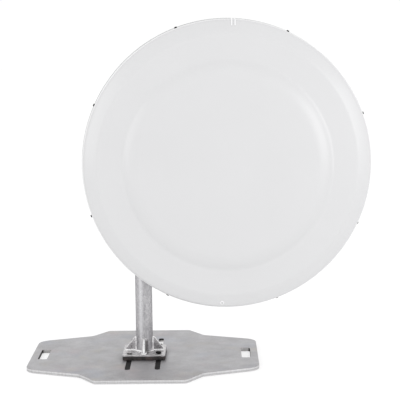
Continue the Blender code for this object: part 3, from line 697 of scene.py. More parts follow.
def zinc(add, where, dull, bright, spangle, stretch=1.0):
    """Hot-dip galvanised steel: flat zinc crystals of many greys, each with its own gloss."""
    drawn_out = add("Mapping", {"Vector": where, "Scale": (1.0, 1.0, 1 / stretch)})
    wander = add("TexNoise", {"Vector": drawn_out, "Scale": 0.7 / spangle, "Detail": 3.0}, out="Color")
    pushed = add("VectorMath", {0: wander, "Scale": spangle * 0.9}, operation="SCALE")
    place = add("VectorMath", {0: drawn_out, 1: pushed}, operation="ADD")
    crystals = add("TexVoronoi", {"Vector": place, "Scale": 1 / spangle}, out="Color")
    tone = add("SeparateColor", {"Color": crystals}).node.outputs
    streaks = add("TexNoise", {"Vector": drawn_out, "Scale": 1 / 0.030, "Detail": 5.0})
    mixed = add("Mix", {0: 0.35, 2: streaks, 3: tone["Red"]}, data_type="FLOAT")
    level = add("MapRange", {"Value": mixed, "From Min": 0.28, "From Max": 0.72})
    colour = add("Mix", {0: level, 6: dull, 7: bright}, **RGBA)
    rough = add("MapRange", {"Value": tone["Green"], "To Min": 0.26, "To Max": 0.46})
    grain = add("TexNoise", {"Vector": where, "Scale": 1 / 0.0025, "Detail": 3.0})
    bump = add("Bump", {"Height": grain, "Strength": 0.2, "Distance": 0.3 * MM})
    return {"Metallic": 0.9, "Base Color": colour, "Roughness": rough, "Normal": bump}


def gusset_shadow(add, where, colour, dull, reach):
    """The colour given, with a painted shadow in the corner right of the front gusset."""
    plan = add("Mapping", {"Vector": where, "Scale": (1.0, 1.0, 0.0)})
    corner = (8 * MM, -TUBE_RADIUS, 0.0)
    beside = add("VectorMath", {0: plan, 1: corner}, out="Value", operation="DISTANCE")
    # Painted shadow: strongest near the corner, gone by the reach, and only below the gusset's top
    thin = add(
        "MapRange", {"Value": beside, "From Min": 4 * MM, "From Max": reach, "To Min": 0.85, "To Max": 0.0},
        interpolation_type="SMOOTHSTEP",
    )
    height = add("SeparateXYZ", {"Vector": where}, out="Z")
    top = GUSSET_HIGH.z
    below = add("MapRange", {"Value": height, "From Min": top + 2 * MM, "From Max": top - 10 * MM})
    share = add("Math", {0: thin, 1: below}, operation="MULTIPLY")
    return add("Mix", {0: share, 6: colour, 7: dull}, **RGBA)


@finish
def galvanised_tube(add, where):
    """Galvanised drawn tube: long crystals, a painted highlight down its left front, and a painted shadow by the front
    gusset.
    """
    tones = settings("finish")
    look = zinc(add, where, tones.zinc_dark, tones.zinc_light, 4 * MM, 2.2)
    # Painted highlight: a pale ragged band down the tube's left front, for the reflection of the left softbox
    plan = add("Mapping", {"Vector": where, "Scale": (1.0, 1.0, 0.0)})
    waves = add("TexNoise", {"Vector": where, "Scale": 1 / 0.045, "Detail": 3.0})
    line = (-0.35 * TUBE_RADIUS, -0.94 * TUBE_RADIUS, 0.0)
    away = add("VectorMath", {0: plan, 1: line}, out="Value", operation="DISTANCE")
    ragged = add("Math", {0: waves, 1: 8 * MM, 2: away}, operation="MULTIPLY_ADD")
    run = add(
        "MapRange", {"Value": ragged, "From Min": 6 * MM, "From Max": 17 * MM, "To Min": 0.5, "To Max": 0.0},
        interpolation_type="SMOOTHSTEP",
    )
    colour = add("Mix", {0: run, 6: look["Base Color"], 7: "#dadadc"}, **RGBA)
    # Painted shadow of the front gusset on the tube, right of it
    look["Base Color"] = gusset_shadow(add, where, colour, "#5c595b", 11 * MM)
    look["Specular Tint"] = (0.5, 0.49, 0.5)
    return look


@finish
def galvanised_bracket(add, where):
    """Galvanised bent plate: zinc crystals of about 4 mm, the same all ways."""
    tones = settings("finish")
    return zinc(add, where, tones.zinc_dark, tones.zinc_light, 4 * MM)


@finish
def galvanised_flange(add, where):
    """Galvanised flange: brighter zinc."""
    return zinc(add, where, "#a6a4a5", "#d0cecf", 5 * MM)


@finish
def shaded_gusset_zinc(add, where):
    """Galvanised flat bar, its zinc painted darker as the shaded copy of the gussets' zinc."""
    return zinc(add, where, "#828082", "#a9a7a9", 4 * MM)


@finish
def lit_gusset_zinc(add, where):
    """Galvanised flat bar of the left gusset, painted paler as the lit copy of the gussets' zinc."""
    return zinc(add, where, "#a6a4a6", "#cbc9cb", 4 * MM)


@finish
def gusset_edge_highlight(add, where):
    """Nearly white zinc on the gussets' cut edges: a painted highlight where they face up and forward."""
    return zinc(add, where, "#e2e1e2", "#ffffff", 4 * MM)


@finish
def galvanised_weld(add, where):
    """Thick zinc on weld beads: bright, with dull patches."""
    return zinc(add, where, "#bab8b9", "#ffffff", 4 * MM)


@finish
def galvanised_foot_weld(add, where):
    """The weld beads of the mast's foot, nearly white, with a painted shadow in the corner right of the front gusset.
    """
    look = zinc(add, where, "#d6d4d5", "#ffffff", 4 * MM)
    look["Base Color"] = gusset_shadow(add, where, look["Base Color"], "#4a4749", 26 * MM)
    return look


@finish
def moulded_black_rubber(add, where):
    """Black moulded rubber: matt, with a fine pebbled skin, grey bloom and a little brown dust."""
    bloom = add("TexNoise", {"Vector": where, "Scale": 1 / 0.014, "Detail": 5.0})
    skin = add("TexNoise", {"Vector": where, "Scale": 1 / 0.0015, "Detail": 2.0})
    level = add("MapRange", {"Value": bloom, "From Min": 0.4, "From Max": 0.75})
    colour = add("Mix", {0: level, 6: "#131112", 7: "#463a39"}, **RGBA)
    rough = add("MapRange", {"Value": bloom, "To Min": 0.55, "To Max": 0.85})
    bump = add("Bump", {"Height": skin, "Strength": 0.3, "Distance": 0.2 * MM})
    return {"Base Color": colour, "Roughness": rough, "Normal": bump}


@finish
def black_oxide_steel(add, where):
    """Steel blackened by oxide and oil: nearly black, half matt, with paler worn spots."""
    wear_and_highlight = add("TexNoise", {"Vector": where, "Scale": 1 / 0.010, "Detail": 6.0})
    mask = add("MapRange", {"Value": wear_and_highlight, "From Min": 0.52, "From Max": 0.85})
    colour = add("Mix", {0: mask, 6: "#080708", 7: "#2e2a2a"}, **RGBA)
    rough = add("MapRange", {"Value": wear_and_highlight, "To Min": 0.55, "To Max": 0.80})
    bump = add("Bump", {"Height": wear_and_highlight, "Strength": 0.2, "Distance": 0.2 * MM})
    return {
        "Metallic": 0.1, "Specular IOR Level": 0.2, "Base Color": colour, "Roughness": rough, "Normal": bump,
    }


@finish
def black_steel_lit_head(add, where):
    """A black bolt whose head is painted grey as a highlight of the light from the left, black only at its foot."""
    patches = add("TexNoise", {"Vector": where, "Scale": 1 / 0.006, "Detail": 4.0})
    height = add("SeparateXYZ", {"Vector": where}, out="Z")
    uneven = add("Math", {0: patches, 1: 3 * MM, 2: height}, operation="MULTIPLY_ADD")
    base = FLANGE_HIGH.z
    # Painted highlight: grey above the head's foot, for the light the head catches from the left
    wear_and_highlight = add("MapRange", {"Value": uneven, "From Min": base + 4.2 * MM, "From Max": base + 6.0 * MM})
    colour = add("Mix", {0: wear_and_highlight, 6: "#151414", 7: "#a8a5a6"}, **RGBA)
    return {"Metallic": 0.5, "Roughness": 0.55, "Base Color": colour}


@finish
def machined_stainless(add, where):
    """Machined stainless steel: pale, glossy, with faint smears of handling."""
    smears = add("TexNoise", {"Vector": where, "Scale": 1 / 0.018, "Detail": 5.0})
    colour = add("Mix", {0: smears, 6: "#b9b8b6", 7: "#dddcda"}, **RGBA)
    rough = add("MapRange", {"Value": smears, "To Min": 0.18, "To Max": 0.42})
    return {"Metallic": 1.0, "Base Color": colour, "Roughness": rough}


@finish
def cast_aluminium(add, where):
    """Sand-cast aluminium: matt pale grey with a coarse grain and small pits."""
    sand = add("TexNoise", {"Vector": where, "Scale": 1 / 0.0012, "Detail": 3.0})
    pits = add("TexVoronoi", {"Vector": where, "Scale": 1 / 0.006}, out="Distance")
    pitted = add("Math", {0: pits, 1: 0.12, 2: 0.1}, operation="SMOOTH_MIN")
    height = add("Math", {0: pitted, 1: 4.0, 2: sand}, operation="MULTIPLY_ADD")
    colour = add("Mix", {0: sand, 6: "#a3a4a3", 7: "#c9cac8"}, **RGBA)
    bump = add("Bump", {"Height": height, "Strength": 0.5, "Distance": 0.3 * MM})
    return {"Metallic": 0.9, "Roughness": 0.55, "Base Color": colour, "Normal": bump}


@finish
def painted_spun_aluminium(add, where):
    """Spun aluminium under a pale baked paint: a soft sheen, faint rings left by the spinning tool."""
    back = dish_place().inverted()
    local = add("Mapping", {"Vector": where, "Location": back.translation, "Rotation": back.to_euler()})
    rings = add(
        "TexWave", {"Vector": local, "Scale": 1 / 0.030, "Distortion": 0.6, "Detail": 2.0, "Detail Scale": 0.4},
        wave_type="RINGS", rings_direction="Z",
    )
    peel = add("TexNoise", {"Vector": where, "Scale": 1 / 0.0025, "Detail": 2.0})
    weather = add("TexNoise", {"Vector": where, "Scale": 1 / 0.110, "Detail": 6.0})
    height = add("Math", {0: rings, 1: 0.8, 2: peel}, operation="MULTIPLY_ADD")
    colour = add("Mix", {0: weather, 6: settings("finish").reflector, 7: "#c2c3c3"}, **RGBA)
    rough = add("MapRange", {"Value": weather, "To Min": 0.34, "To Max": 0.55})
    bump = add("Bump", {"Height": height, "Strength": 0.2, "Distance": 0.25 * MM})
    return {"Base Color": colour, "Roughness": rough, "Normal": bump}


def abs_sheet(add, where, dull, bright):
    """White ABS, moulded under heat: even satin white with a barely seen ripple."""
    drift = add("TexNoise", {"Vector": where, "Scale": 1 / 0.160, "Detail": 4.0})
    skin = add("TexNoise", {"Vector": where, "Scale": 1 / 0.0035, "Detail": 2.0})
    colour = add("Mix", {0: drift, 6: dull, 7: bright}, **RGBA)
    rough = add("MapRange", {"Value": drift, "To Min": 0.27, "To Max": 0.37})
    bump = add("Bump", {"Height": skin, "Strength": 0.08, "Distance": 0.15 * MM})
    return {"Base Color": colour, "Roughness": rough, "Normal": bump}


@finish
def moulded_white_abs(add, where):
    """White ABS of the radome's face, a little greyer than the skirt's lit copy."""
    return abs_sheet(add, where, "#c8c8c9", settings("finish").radome)


@finish
def moulded_white_abs_lit_skirt(add, where):
    """White ABS of the radome's skirt, painted whiter than the face as its lit copy, for the light the skirt catches
    from the sides and top.
    """
    return abs_sheet(add, where, "#d6d6d7", "#dcdcdd")


@finish
def moulded_white_abs_fittings(add, where):
    """White ABS of the raised mark on the rim, fresher and brighter than the face."""
    return abs_sheet(add, where, "#e8e8e9", "#f4f4f5")


@finish
def moulded_white_abs_plug(add, where):
    """White ABS of the drain's plug, a little paler than the face round it."""
    return abs_sheet(add, where, "#dededf", "#e6e6e7")


@finish
def pale_floor(add, where):
    """Matt pale floor with a glow of its own, so that it reads white and shadows stay weak."""
    glow = settings("stage").floor
    return {"Base Color": "#b4b4b4", "Roughness": 0.9, "Emission Color": "#ffffff", "Emission Strength": glow}


# What stands in for a node: the end of the piece's name, its slot and its finish
BLACKENED = ("steel", "black_steel", black_oxide_steel)
GALVANISED = ("steel", "galvanised_steel", galvanised_bracket)
STAINLESS = ("stainless", "stainless_steel", machined_stainless)
CASTING = ("casting", "cast_aluminium", cast_aluminium)
RUBBER = ("rubber", "black_rubber", moulded_black_rubber)


def clamped(obj, node, edge):
    """Round the edges of a steel piece of the head and show it in its place on the mast."""
    return stand_in(put(softened(obj, edge), head_place()), node, *GALVANISED)


class ANTENNA_OT_ground_plate(Operator):
    """Model the ground plate with its slots and holes"""

    bl_idname = "antenna.ground_plate"
    bl_label = "Ground plate"

    def execute(self, context):
        ground = settings("ground")
        half_length = PLATE_HIGH.y - PLATE_CENTRE_Y
        right = [(PLATE_HIGH.x, 193 * MM, 50 * MM), (212 * MM, 265 * MM, 30 * MM), (156 * MM, half_length, 12 * MM)]
        back = right + [(-x, y, r) for x, y, r in reversed(right)]
        outline = back + [(x, -y, r) for x, y, r in reversed(back)]
        plate = slab("plate", outline, PLATE_THICK, at(0, PLATE_CENTRE_Y, 0), steps=10)

        clear = 5 * MM
        low, high = -clear, PLATE_THICK + clear
        slot = (ground.long_slot_width, ground.long_slot_length)
        hand_slot = rectangle(ground.hand_slot_width / 2, ground.hand_slot_length / 2, ground.hand_slot_corner)
        cutters = []
        for side in (-1, 1):
            place = at(side * ground.hand_slot_x, PLATE_CENTRE_Y, low)
            cutters.append(slab("hand_slot", hand_slot, high - low, place))
            cutters.append(slot_cutter(side * SLOT_X, PLATE_CENTRE_Y, *slot, low, high))
            for end in (-PILOT_Y, PILOT_Y):
                centre = (side * SLOT_X, PLATE_CENTRE_Y + end, 0)
                cutters.append(drill(centre, "Z", high, ground.pilot_radius, vertices=24))
        softened(shaped(plate, "DIFFERENCE", *cutters), ground.edge_round)
        finishes = (galvanised_plate_top, galvanised_plate_edge, dull_arris, slot_wall_shade, grey_slot_wall)
        stand_in(plate, "ground_plate", "steel", "galvanised_plate", *finishes)

        upright, level, steep = 0.2, 0.98, 0.6

        def in_slot(face, middle, width, length):
            """A wall of the slot: a steep face inside its outline, with a little to spare."""
            x, y, z = face.calc_center_median()
            inside = abs(abs(x) - middle) < 0.55 * width and abs(y - PLATE_CENTRE_Y) < 0.52 * length
            return inside and abs(face.normal.z) < steep

        # Faces by kind: the cut edges, the arrises, the long slots' walls with their painted shade, and the hand slots'
        # walls with painted shade in their outer corners
        painted(
            plate,
            lambda face: abs(face.normal.z) < upright,
            lambda face: upright <= abs(face.normal.z) < level,
            lambda face: in_slot(face, SLOT_X, *slot),
            lambda face: in_slot(face, ground.hand_slot_x, ground.hand_slot_width, ground.hand_slot_length),
        )
        return {"FINISHED"}


class ANTENNA_OT_slide_bars(Operator):
    """Model the two bars that fill the front of the long slots"""

    bl_idname = "antenna.slide_bars"
    bl_label = "Slide bars"

    def execute(self, context):
        width, length, _ = BAR_HIGH - BAR_LOW
        middle = (BAR_HIGH.y + BAR_LOW.y) / 2
        for side, name in ((-1, "left"), (1, "right")):
            form = slot_cutter(side * SLOT_X, middle, width, length, BAR_LOW.z, BAR_HIGH.z)
            holes = [drill((side * SLOT_X, y, 0), "Z", 20 * MM, BOLT_HOLE) for y in (-BOLT_Y, BOLT_Y)]
            softened(shaped(form, "DIFFERENCE", *holes), width=0.6 * MM)
            stand_in(form, "slide_bar_" + name, *BLACKENED)
        return {"FINISHED"}


def foot_square(name, low, high, edge):
    """A square of the mast's foot, with its rounded corners and four bolt holes."""
    half = FLANGE_HIGH.x
    square = slab(name, rectangle(half, half, corner=10 * MM), high - low, at(0, 0, low))
    holes = [drill((x, y, low), "Z", high - low + MM, BOLT_HOLE, vertices=24) for x, y in BOLT_PLACES]
    return softened(shaped(square, "DIFFERENCE", *holes), edge)


class ANTENNA_OT_flange_pad(Operator):
    """Model the rubber pad under the mast's flange"""

    bl_idname = "antenna.flange_pad"
    bl_label = "Flange pad"

    def execute(self, context):
        pad = foot_square("pad", PAD_LOW.z, PAD_HIGH.z, edge=1.6 * MM)
        stand_in(pad, "flange_pad", *RUBBER)
        return {"FINISHED"}


class ANTENNA_OT_mast_flange(Operator):
    """Model the square flange that the mast stands on"""

    bl_idname = "antenna.mast_flange"
    bl_label = "Mast flange"

    def execute(self, context):
        flange = foot_square("flange", FLANGE_LOW.z, FLANGE_HIGH.z, edge=1.1 * MM)
        stand_in(flange, "mast_flange", "steel", "galvanised_steel", galvanised_flange)
        return {"FINISHED"}


class ANTENNA_OT_gussets(Operator):
    """Model one gusset of the foot and copy it round the mast"""

    bl_idname = "antenna.gussets"
    bl_label = "Gussets"

    def execute(self, context):
        thick = settings("mast").gusset_thickness
        inner, outer = GUSSET_LOW.x, GUSSET_HIGH.x
        low, high = GUSSET_LOW.z, GUSSET_HIGH.z
        snipe, toe, top, corner = 5 * MM, 7 * MM, 6 * MM, 2 * MM
        side_view = [
            (inner + snipe, low), (outer, low), (outer, low + toe, corner), (inner + top, high, corner),
            (inner, high), (inner, low + snipe),
        ]
        upright = at(0, thick / 2, 0) @ turn(pi / 2, "X")
        first = softened(slab("gusset", side_view, thick, upright), width=1.0 * MM)
        names = ("right", "back", "left", "front")
        pieces = [first] + [copied(first, names[i], turn(i * pi / 2, "Z")) for i in (1, 2, 3)]
        for i, (piece, name) in enumerate(zip(pieces, names)):
            # The left gusset takes the lit copy of the zinc and the others the shaded copy: painted light and shade
            side = lit_gusset_zinc if name == "left" else shaded_gusset_zinc
            stand_in(piece, "gusset_" + name, "steel", "galvanised_steel", side, gusset_edge_highlight)
            # The cut edges, which take the painted highlight: all that doesn't face across the gusset, which stands
            # along X or Y in turn
            across = (i + 1) % 2
            painted(piece, lambda face: abs(face.normal[across]) < 0.5)
        return {"FINISHED"}


class ANTENNA_OT_foot_welds(Operator):
    """Model the weld beads round the mast and along the gussets"""

    bl_idname = "antenna.foot_welds"
    bl_label = "Foot welds"

    def execute(self, context):
        mast = settings("mast")
        size = mast.bead_size
        sunk = 0.3 * size
        side, skin, floor = mast.gusset_thickness / 2 + sunk, TUBE_RADIUS + sunk, FLANGE_HIGH.z + sunk
        upright, toe = skin - 0.5 * size, GUSSET_HIGH.x - 0.1 * size
        runs = []
        for y in (-side, side):
            runs.append(bead((skin, y, floor), (GUSSET_HIGH.x - size, y, floor), size))
            runs.append(bead((upright, y, floor), (upright, y, GUSSET_HIGH.z), size))
        runs.append(bead((toe, -side, floor), (toe, side, floor), 0.8 * size))
        quarter = joined(*runs)
        quarters = [copied(quarter, "quarter", turn(i * pi / 2, "Z")) for i in (1, 2, 3)]
        welds = fused(joined(ring_bead(skin, floor, 1.1 * size), quarter, *quarters), voxel=0.75 * MM)
        dress(welds, "foot_welds", "galvanised_steel", galvanised_foot_weld)
        return {"FINISHED"}


class ANTENNA_OT_flange_bolts(Operator):
    """Model one hexagon bolt of the foot and copy it to the four holes"""

    bl_idname = "antenna.flange_bolts"
    bl_label = "Flange bolts"

    def execute(self, context):
        names = ("front_left", "front_right", "back_left", "back_right")
        thin = 1.8 * MM
        head = BOLT_HIGH.z - FLANGE_HIGH.z - SEAT_GAP - thin
        length = BOLT_HIGH.z - BOLT_LOW.z - head
        first = bolt("flange_bolt", flats=18 * MM, head=head, radius=5.8 * MM, length=length, thin=thin)
        for (x, y), name in zip(BOLT_PLACES, names):
            node = "flange_bolt_" + name
            # Each bolt stopped at a turn of its own when it was tightened
            tightened = turn(x * 7 + y * 11, "Z")
            screw = copied(first, node, at(x, y, FLANGE_HIGH.z + 0.1 * MM) @ tightened)
            # The front left bolt takes the black steel with a painted highlight on its head
            steel = black_steel_lit_head if name == "front_left" else black_oxide_steel
            stand_in(screw, node, "steel", "black_steel", steel)
        bpy.data.objects.remove(first)
        return {"FINISHED"}


class ANTENNA_OT_mast_tube(Operator):
    """Model the mast's steel tube and its cap"""

    bl_idname = "antenna.mast_tube"
    bl_label = "Mast tube and cap"

    def execute(self, context):
        inner = TUBE_RADIUS - settings("mast").wall
        low, high = TUBE_LOW.z, TUBE_HIGH.z
        edge = 0.8 * MM
        wall = [(inner, low), (TUBE_RADIUS, low), (TUBE_RADIUS, high, edge), (inner, high, edge)]
        stand_in(turned("tube", wall, segments=96), "mast_tube", "steel", "galvanised_steel", galvanised_tube)

        seat, plug, lip = high + SEAT_GAP, inner - SEAT_GAP, 3 * MM
        cap = [
            (0.0, CAP_HIGH.z - 0.6 * MM), (TUBE_RADIUS - 9 * MM, CAP_HIGH.z), (TUBE_RADIUS, CAP_HIGH.z, 2.4 * MM),
            (TUBE_RADIUS, seat, 0.5 * MM), (plug, seat), (plug, CAP_LOW.z), (plug - lip, CAP_LOW.z),
            (plug - lip, seat), (0.0, seat),
        ]
        stand_in(turned("cap", cap, segments=96), "mast_cap", *RUBBER)
        return {"FINISHED"}


class ANTENNA_OT_pipe_bracket(Operator):
    """Model the bracket that the U-bolts clamp to the mast"""

    bl_idname = "antenna.pipe_bracket"
    bl_label = "Pipe bracket"

    def execute(self, context):
        height, spread = settings("dish").height, settings("mast").clamp_spread
        tall, half = BRACKET_HALF_HEIGHT, BRACKET_HALF_WIDTH
        web, lip, reach = WEB_FRONT_Y, SHELF_FRONT_Y, 26 * MM
        shelf = [(web, SHELF_OUT), (lip, SHELF_OUT), (lip, SHELF_IN), (web, SHELF_IN)]
        side_view = [(WEB_BACK_Y, -tall), (WEB_BACK_Y, tall), (web, tall), *shelf]
        side_view += [(y, -z) for y, z in reversed(shelf)] + [(web, -tall)]
        bracket = slab("bracket", side_view, 2 * half, at(-half, 0, height) @ ALONG_X)
        rounded(bracket, lambda e: along(e, "Z") and e.verts[0].co.y < SHELF_FRONT_Y + MM, radius=14 * MM)
        rounded(bracket, lambda e: along(e, "Y") and abs(abs(e.verts[0].co.z - height) - tall) < MM, radius=12 * MM)
        root, tip, edge, corner = half - 10 * MM, 132 * MM, 18 * MM, 12 * MM
        ear = [(root, -edge), (tip, -edge, corner), (tip, edge, corner), (root, edge)]
        tongue = slab("tongue", ear, WALL, at(0, WEB_BACK_Y, height) @ turn(pi / 2, "X"))
        shaped(bracket, "UNION", tongue)
        holes = [drill((PIN_X, PIN_Y, height), "Z", tall, PIN_HOLE)]
        holes.append(drill((ADJUSTER_X, WEB_BACK_Y, height), "Y", reach, ADJUSTER_HOLE))
        for x in (-LEG_X, LEG_X):
            for z in (-spread, spread):
                holes.append(drill((x, WEB_BACK_Y, height + z), "Y", reach, LEG_HOLE))
        clamped(shaped(bracket, "DIFFERENCE", *holes), "pipe_bracket", edge=0.9 * MM)
        return {"FINISHED"}


class ANTENNA_OT_saddles(Operator):
    """Model the two cradles between the bracket and the mast"""

    bl_idname = "antenna.saddles"
    bl_label = "Saddles"

    def execute(self, context):
        seat, wrap, steps = TUBE_RADIUS + SEAT_GAP, radians(40), 24
        base, side, half = WEB_BACK_Y + SEAT_GAP, 29 * MM, 18 * MM
        lip = -seat * cos(wrap)
        plan = [(-side, lip), (-side, base), (side, base), (side, lip)]
        plan += [(seat * sin(angle), -seat * cos(angle)) for angle in spaced(wrap, -wrap, steps)]
        for sign, name in ((1, "upper"), (-1, "lower")):
            z = settings("dish").height + sign * settings("mast").clamp_spread - half
            clamped(slab("saddle", plan, 2 * half, at(0, 0, z)), "saddle_" + name, edge=0.7 * MM)
        return {"FINISHED"}


class ANTENNA_OT_u_bolts(Operator):
    """Model one U-bolt with its threads, washers and nuts, and copy it to both places"""

    bl_idname = "antenna.u_bolts"
    bl_label = "U-bolts"

    def execute(self, context):
        radius, plain, end = 5 * MM, 46 * MM, 74 * MM
        flats, nut, thin = 16 * MM, 8 * MM, 2 * MM
        bow = edit(primitive(
            "circle", "u_bolt", vertices=24, radius=radius, fill_type="NGON", location=(LEG_X, -plain, 0),
            rotation=(pi / 2, 0, 0),
        ))
        bpy.ops.mesh.select_all(action="SELECT")
        bpy.ops.mesh.extrude_region_move(TRANSFORM_OT_translate={"value": (0, plain, 0)})
        bpy.ops.mesh.spin(steps=48, angle=pi, center=(0, 0, 0), axis=(0, 0, 1))
        bpy.ops.mesh.extrude_region_move(TRANSFORM_OT_translate={"value": (0, -plain, 0)})
        close(bow)
        ring_top = WEB_FRONT_Y - SEAT_GAP
        nut_top = ring_top - thin
        for side in (-1, 1):
            leg = joined(
                stud("leg", radius, -plain, -end, -plain - MM),
                hexagon("nut", flats, nut_top - nut, nut_top, bore=radius + 0.1 * MM),
                washer("washer", 10 * MM, radius + 0.3 * MM, nut_top, ring_top),
            )
            joined(bow, put(leg, at(side * LEG_X, 0, 0) @ turn(-pi / 2, "X")))
        smoothed(bow)
        for sign, name in ((1, "upper"), (-1, "lower")):
            z = settings("dish").height + sign * settings("mast").clamp_spread
            node = "u_bolt_" + name
            piece = copied(bow, node, head_place() @ at(0, 0, z))
            stand_in(piece, node, *STAINLESS)
        bpy.data.objects.remove(bow)
        return {"FINISHED"}


class ANTENNA_OT_azimuth_arm(Operator):
    """Model the channel arm with its end plate and the weld between them"""

    bl_idname = "antenna.azimuth_arm"
    bl_label = "Azimuth arm"

    def execute(self, context):
        height, tall = settings("dish").height, ARM_HALF_HEIGHT
        end_x = ear_left() - SEAT_GAP
        inside = 3 * MM
        side_view = [
            (ARM_BACK_Y, tall), (ARM_FRONT_Y, tall, ARM_BEND), (ARM_FRONT_Y, -tall, ARM_BEND), (ARM_BACK_Y, -tall),
            (ARM_BACK_Y, WALL - tall), (ARM_FRONT_Y + WALL, WALL - tall, inside),
            (ARM_FRONT_Y + WALL, tall - WALL, inside), (ARM_BACK_Y, tall - WALL),
        ]
        length = end_x - ARM_END_PLATE / 2 - ARM_START_X
        arm = slab("arm", side_view, length, at(ARM_START_X, 0, height) @ ALONG_X)
        rounded(arm, lambda e: along(e, "Z") and e.verts[0].co.x < ARM_START_X + MM
                and e.verts[0].co.y > ARM_BACK_Y - MM and e.calc_length() < 2 * WALL, radius=14 * MM)
        corners = mm((-108, -75, 10), (10, -75, 12), (10, 75, 12), (-108, 75, 10))
        plate = slab("end_plate", corners, ARM_END_PLATE, at(end_x - ARM_END_PLATE, 0, height) @ ALONG_X)
        shaped(arm, "UNION", plate)
        holes = [
            drill((PIN_X, PIN_Y, height), "Z", 100 * MM, PIN_HOLE),
            drill((ADJUSTER_X, ARM_FRONT_Y, height), "Y", 20 * MM, ADJUSTER_HOLE),
        ]
        for z in (-PIVOT_DROP, PIVOT_DROP):
            holes.append(drill((end_x, PIVOT_Y, height + z), "X", 30 * MM, PIVOT_HOLE))
        clamped(shaped(arm, "DIFFERENCE", *holes), "azimuth_arm", edge=0.8 * MM)

        size = 2.6 * MM
        x, top = end_x - ARM_END_PLATE - 0.3 * size, tall + 0.3 * size
        front = ARM_FRONT_Y - 0.1 * size + ARM_BEND
        runs = [bead((x, front, height + z), (x, ARM_BACK_Y, height + z), size) for z in (-top, top)]
        seam = put(fused(joined(*runs), voxel=0.7 * MM), head_place())
        dress(seam, "azimuth_arm_welds", "galvanised_steel", galvanised_weld)
        return {"FINISHED"}


class ANTENNA_OT_azimuth_bolts(Operator):
    """Model the azimuth pin and the threaded azimuth adjuster with its nuts"""

    bl_idname = "antenna.azimuth_bolts"
    bl_label = "Azimuth pin and adjuster"

    def execute(self, context):
        height = settings("dish").height
        seat = SHELF_OUT + SEAT_GAP
        length = 2 * seat - SEAT_GAP + 13.4 * MM
        pin = bolt("pin", flats=22 * MM, head=8 * MM, radius=8 * MM, length=length, grip=2 * seat)
        put(pin, head_place() @ at(PIN_X, PIN_Y, height + seat))
        stand_in(pin, "azimuth_pin", *STAINLESS)

        radius, front, back = 5 * MM, 120 * MM, 18 * MM
        flats, nut, thin, loose = 16 * MM, 7 * MM, 1.6 * MM, 0.2 * MM
        parts = [stud("rod", radius, -back, -front, -back - 2 * MM)]
        for face, way in ((WEB_FRONT_Y, -1), (WEB_BACK_Y, 1), (ARM_FRONT_Y, -1), (ARM_FRONT_Y + WALL, 1)):
            ends = sorted((face + way * loose, face + way * thin))
            parts.append(washer("washer", 9.5 * MM, radius + loose, *ends))
            ends = sorted((face + way * thin, face + way * (thin + nut)))
            parts.append(hexagon("nut", flats, *ends, bore=radius + 0.1 * MM))
        adjuster = smoothed(joined(*parts))
        put(adjuster, head_place() @ at(ADJUSTER_X, 0, height) @ turn(-pi / 2, "X"))
        stand_in(adjuster, "azimuth_adjuster", *STAINLESS)
        return {"FINISHED"}


class ANTENNA_OT_elevation_bracket(Operator):
    """Model the U-shaped bracket behind the hub"""

    bl_idname = "antenna.elevation_bracket"
    bl_label = "Elevation bracket"

    def execute(self, context):
        dish = settings("dish")
        front, back, height, tall = hub_front(), EAR_BACK_Y, dish.height, EAR_HALF_HEIGHT
        x0, x1 = ear_left(), dish.offset + EAR_HALF_WIDTH
        bend, inside = 9 * MM, 3 * MM
        plan = [
            (x0, front, bend), (x1, front, bend), (x1, back), (x1 - WALL, back),
            (x1 - WALL, front + WALL, inside), (x0 + WALL, front + WALL, inside), (x0 + WALL, back), (x0, back),
        ]
        bracket = slab("ears", plan, 2 * tall, at(0, 0, height - tall))
        rounded(bracket, lambda e: along(e, "X") and e.verts[0].co.y > back - MM, radius=22 * MM, steps=10)
        middle = height - PIVOT_DROP
        swing, half, steps = radians(14), 6.5 * MM, 16
        arc = []
        for angles, radius in (
            (spaced(-swing, swing, steps), 2 * PIVOT_DROP + half), (spaced(swing, -swing, steps), 2 * PIVOT_DROP - half)
        ):
            arc += [(PIVOT_Y + radius * sin(t), middle + radius * cos(t)) for t in angles]
        clear, bore = 20 * MM, 48.5 * MM
        tools = [
            drill((dish.offset, front, height), "Y", clear, bore, vertices=96),
            drill((dish.offset, PIVOT_Y, middle), "X", EAR_HALF_WIDTH + clear, PIVOT_HOLE),
            slab("arc", arc, x1 - x0 + 2 * clear, at(x0 - clear, 0, 0) @ ALONG_X),
        ]
        clamped(shaped(bracket, "DIFFERENCE", *tools), "elevation_bracket", edge=0.9 * MM)
        return {"FINISHED"}


class ANTENNA_OT_elevation_bolts(Operator):
    """Model the pivot and lock bolts of the elevation bracket with their nuts"""

    bl_idname = "antenna.elevation_bolts"
    bl_label = "Elevation bolts"

    def execute(self, context):
        height = settings("dish").height
        seat = ear_left() - ARM_END_PLATE - 2 * SEAT_GAP
        grip = ARM_END_PLATE + WALL + 3 * SEAT_GAP
        length = grip + 13.5 * MM
        for node, z in (("elevation_pivot_bolt", -PIVOT_DROP), ("elevation_lock_bolt", PIVOT_DROP)):
            piece = bolt(node, flats=18 * MM, head=6.4 * MM, radius=6 * MM, length=length, grip=grip, thin=1.6 * MM)
            put(piece, head_place() @ at(seat, PIVOT_Y, height + z) @ turn(-pi / 2, "Y"))
            stand_in(piece, node, *STAINLESS)
        return {"FINISHED"}


def bowl(radius, behind=0.0):
    """Point of the parabolic face, or of a surface behind it, as (radius, height)."""
    slope = 2 * REFLECTOR_DEPTH * radius / REFLECTOR_RADIUS ** 2
    level = REFLECTOR_DEPTH * (radius / REFLECTOR_RADIUS) ** 2 - REFLECTOR_DEPTH - RIM_BACK
    length = sqrt(1 + slope * slope)
    return radius + behind * slope / length, level - behind / length


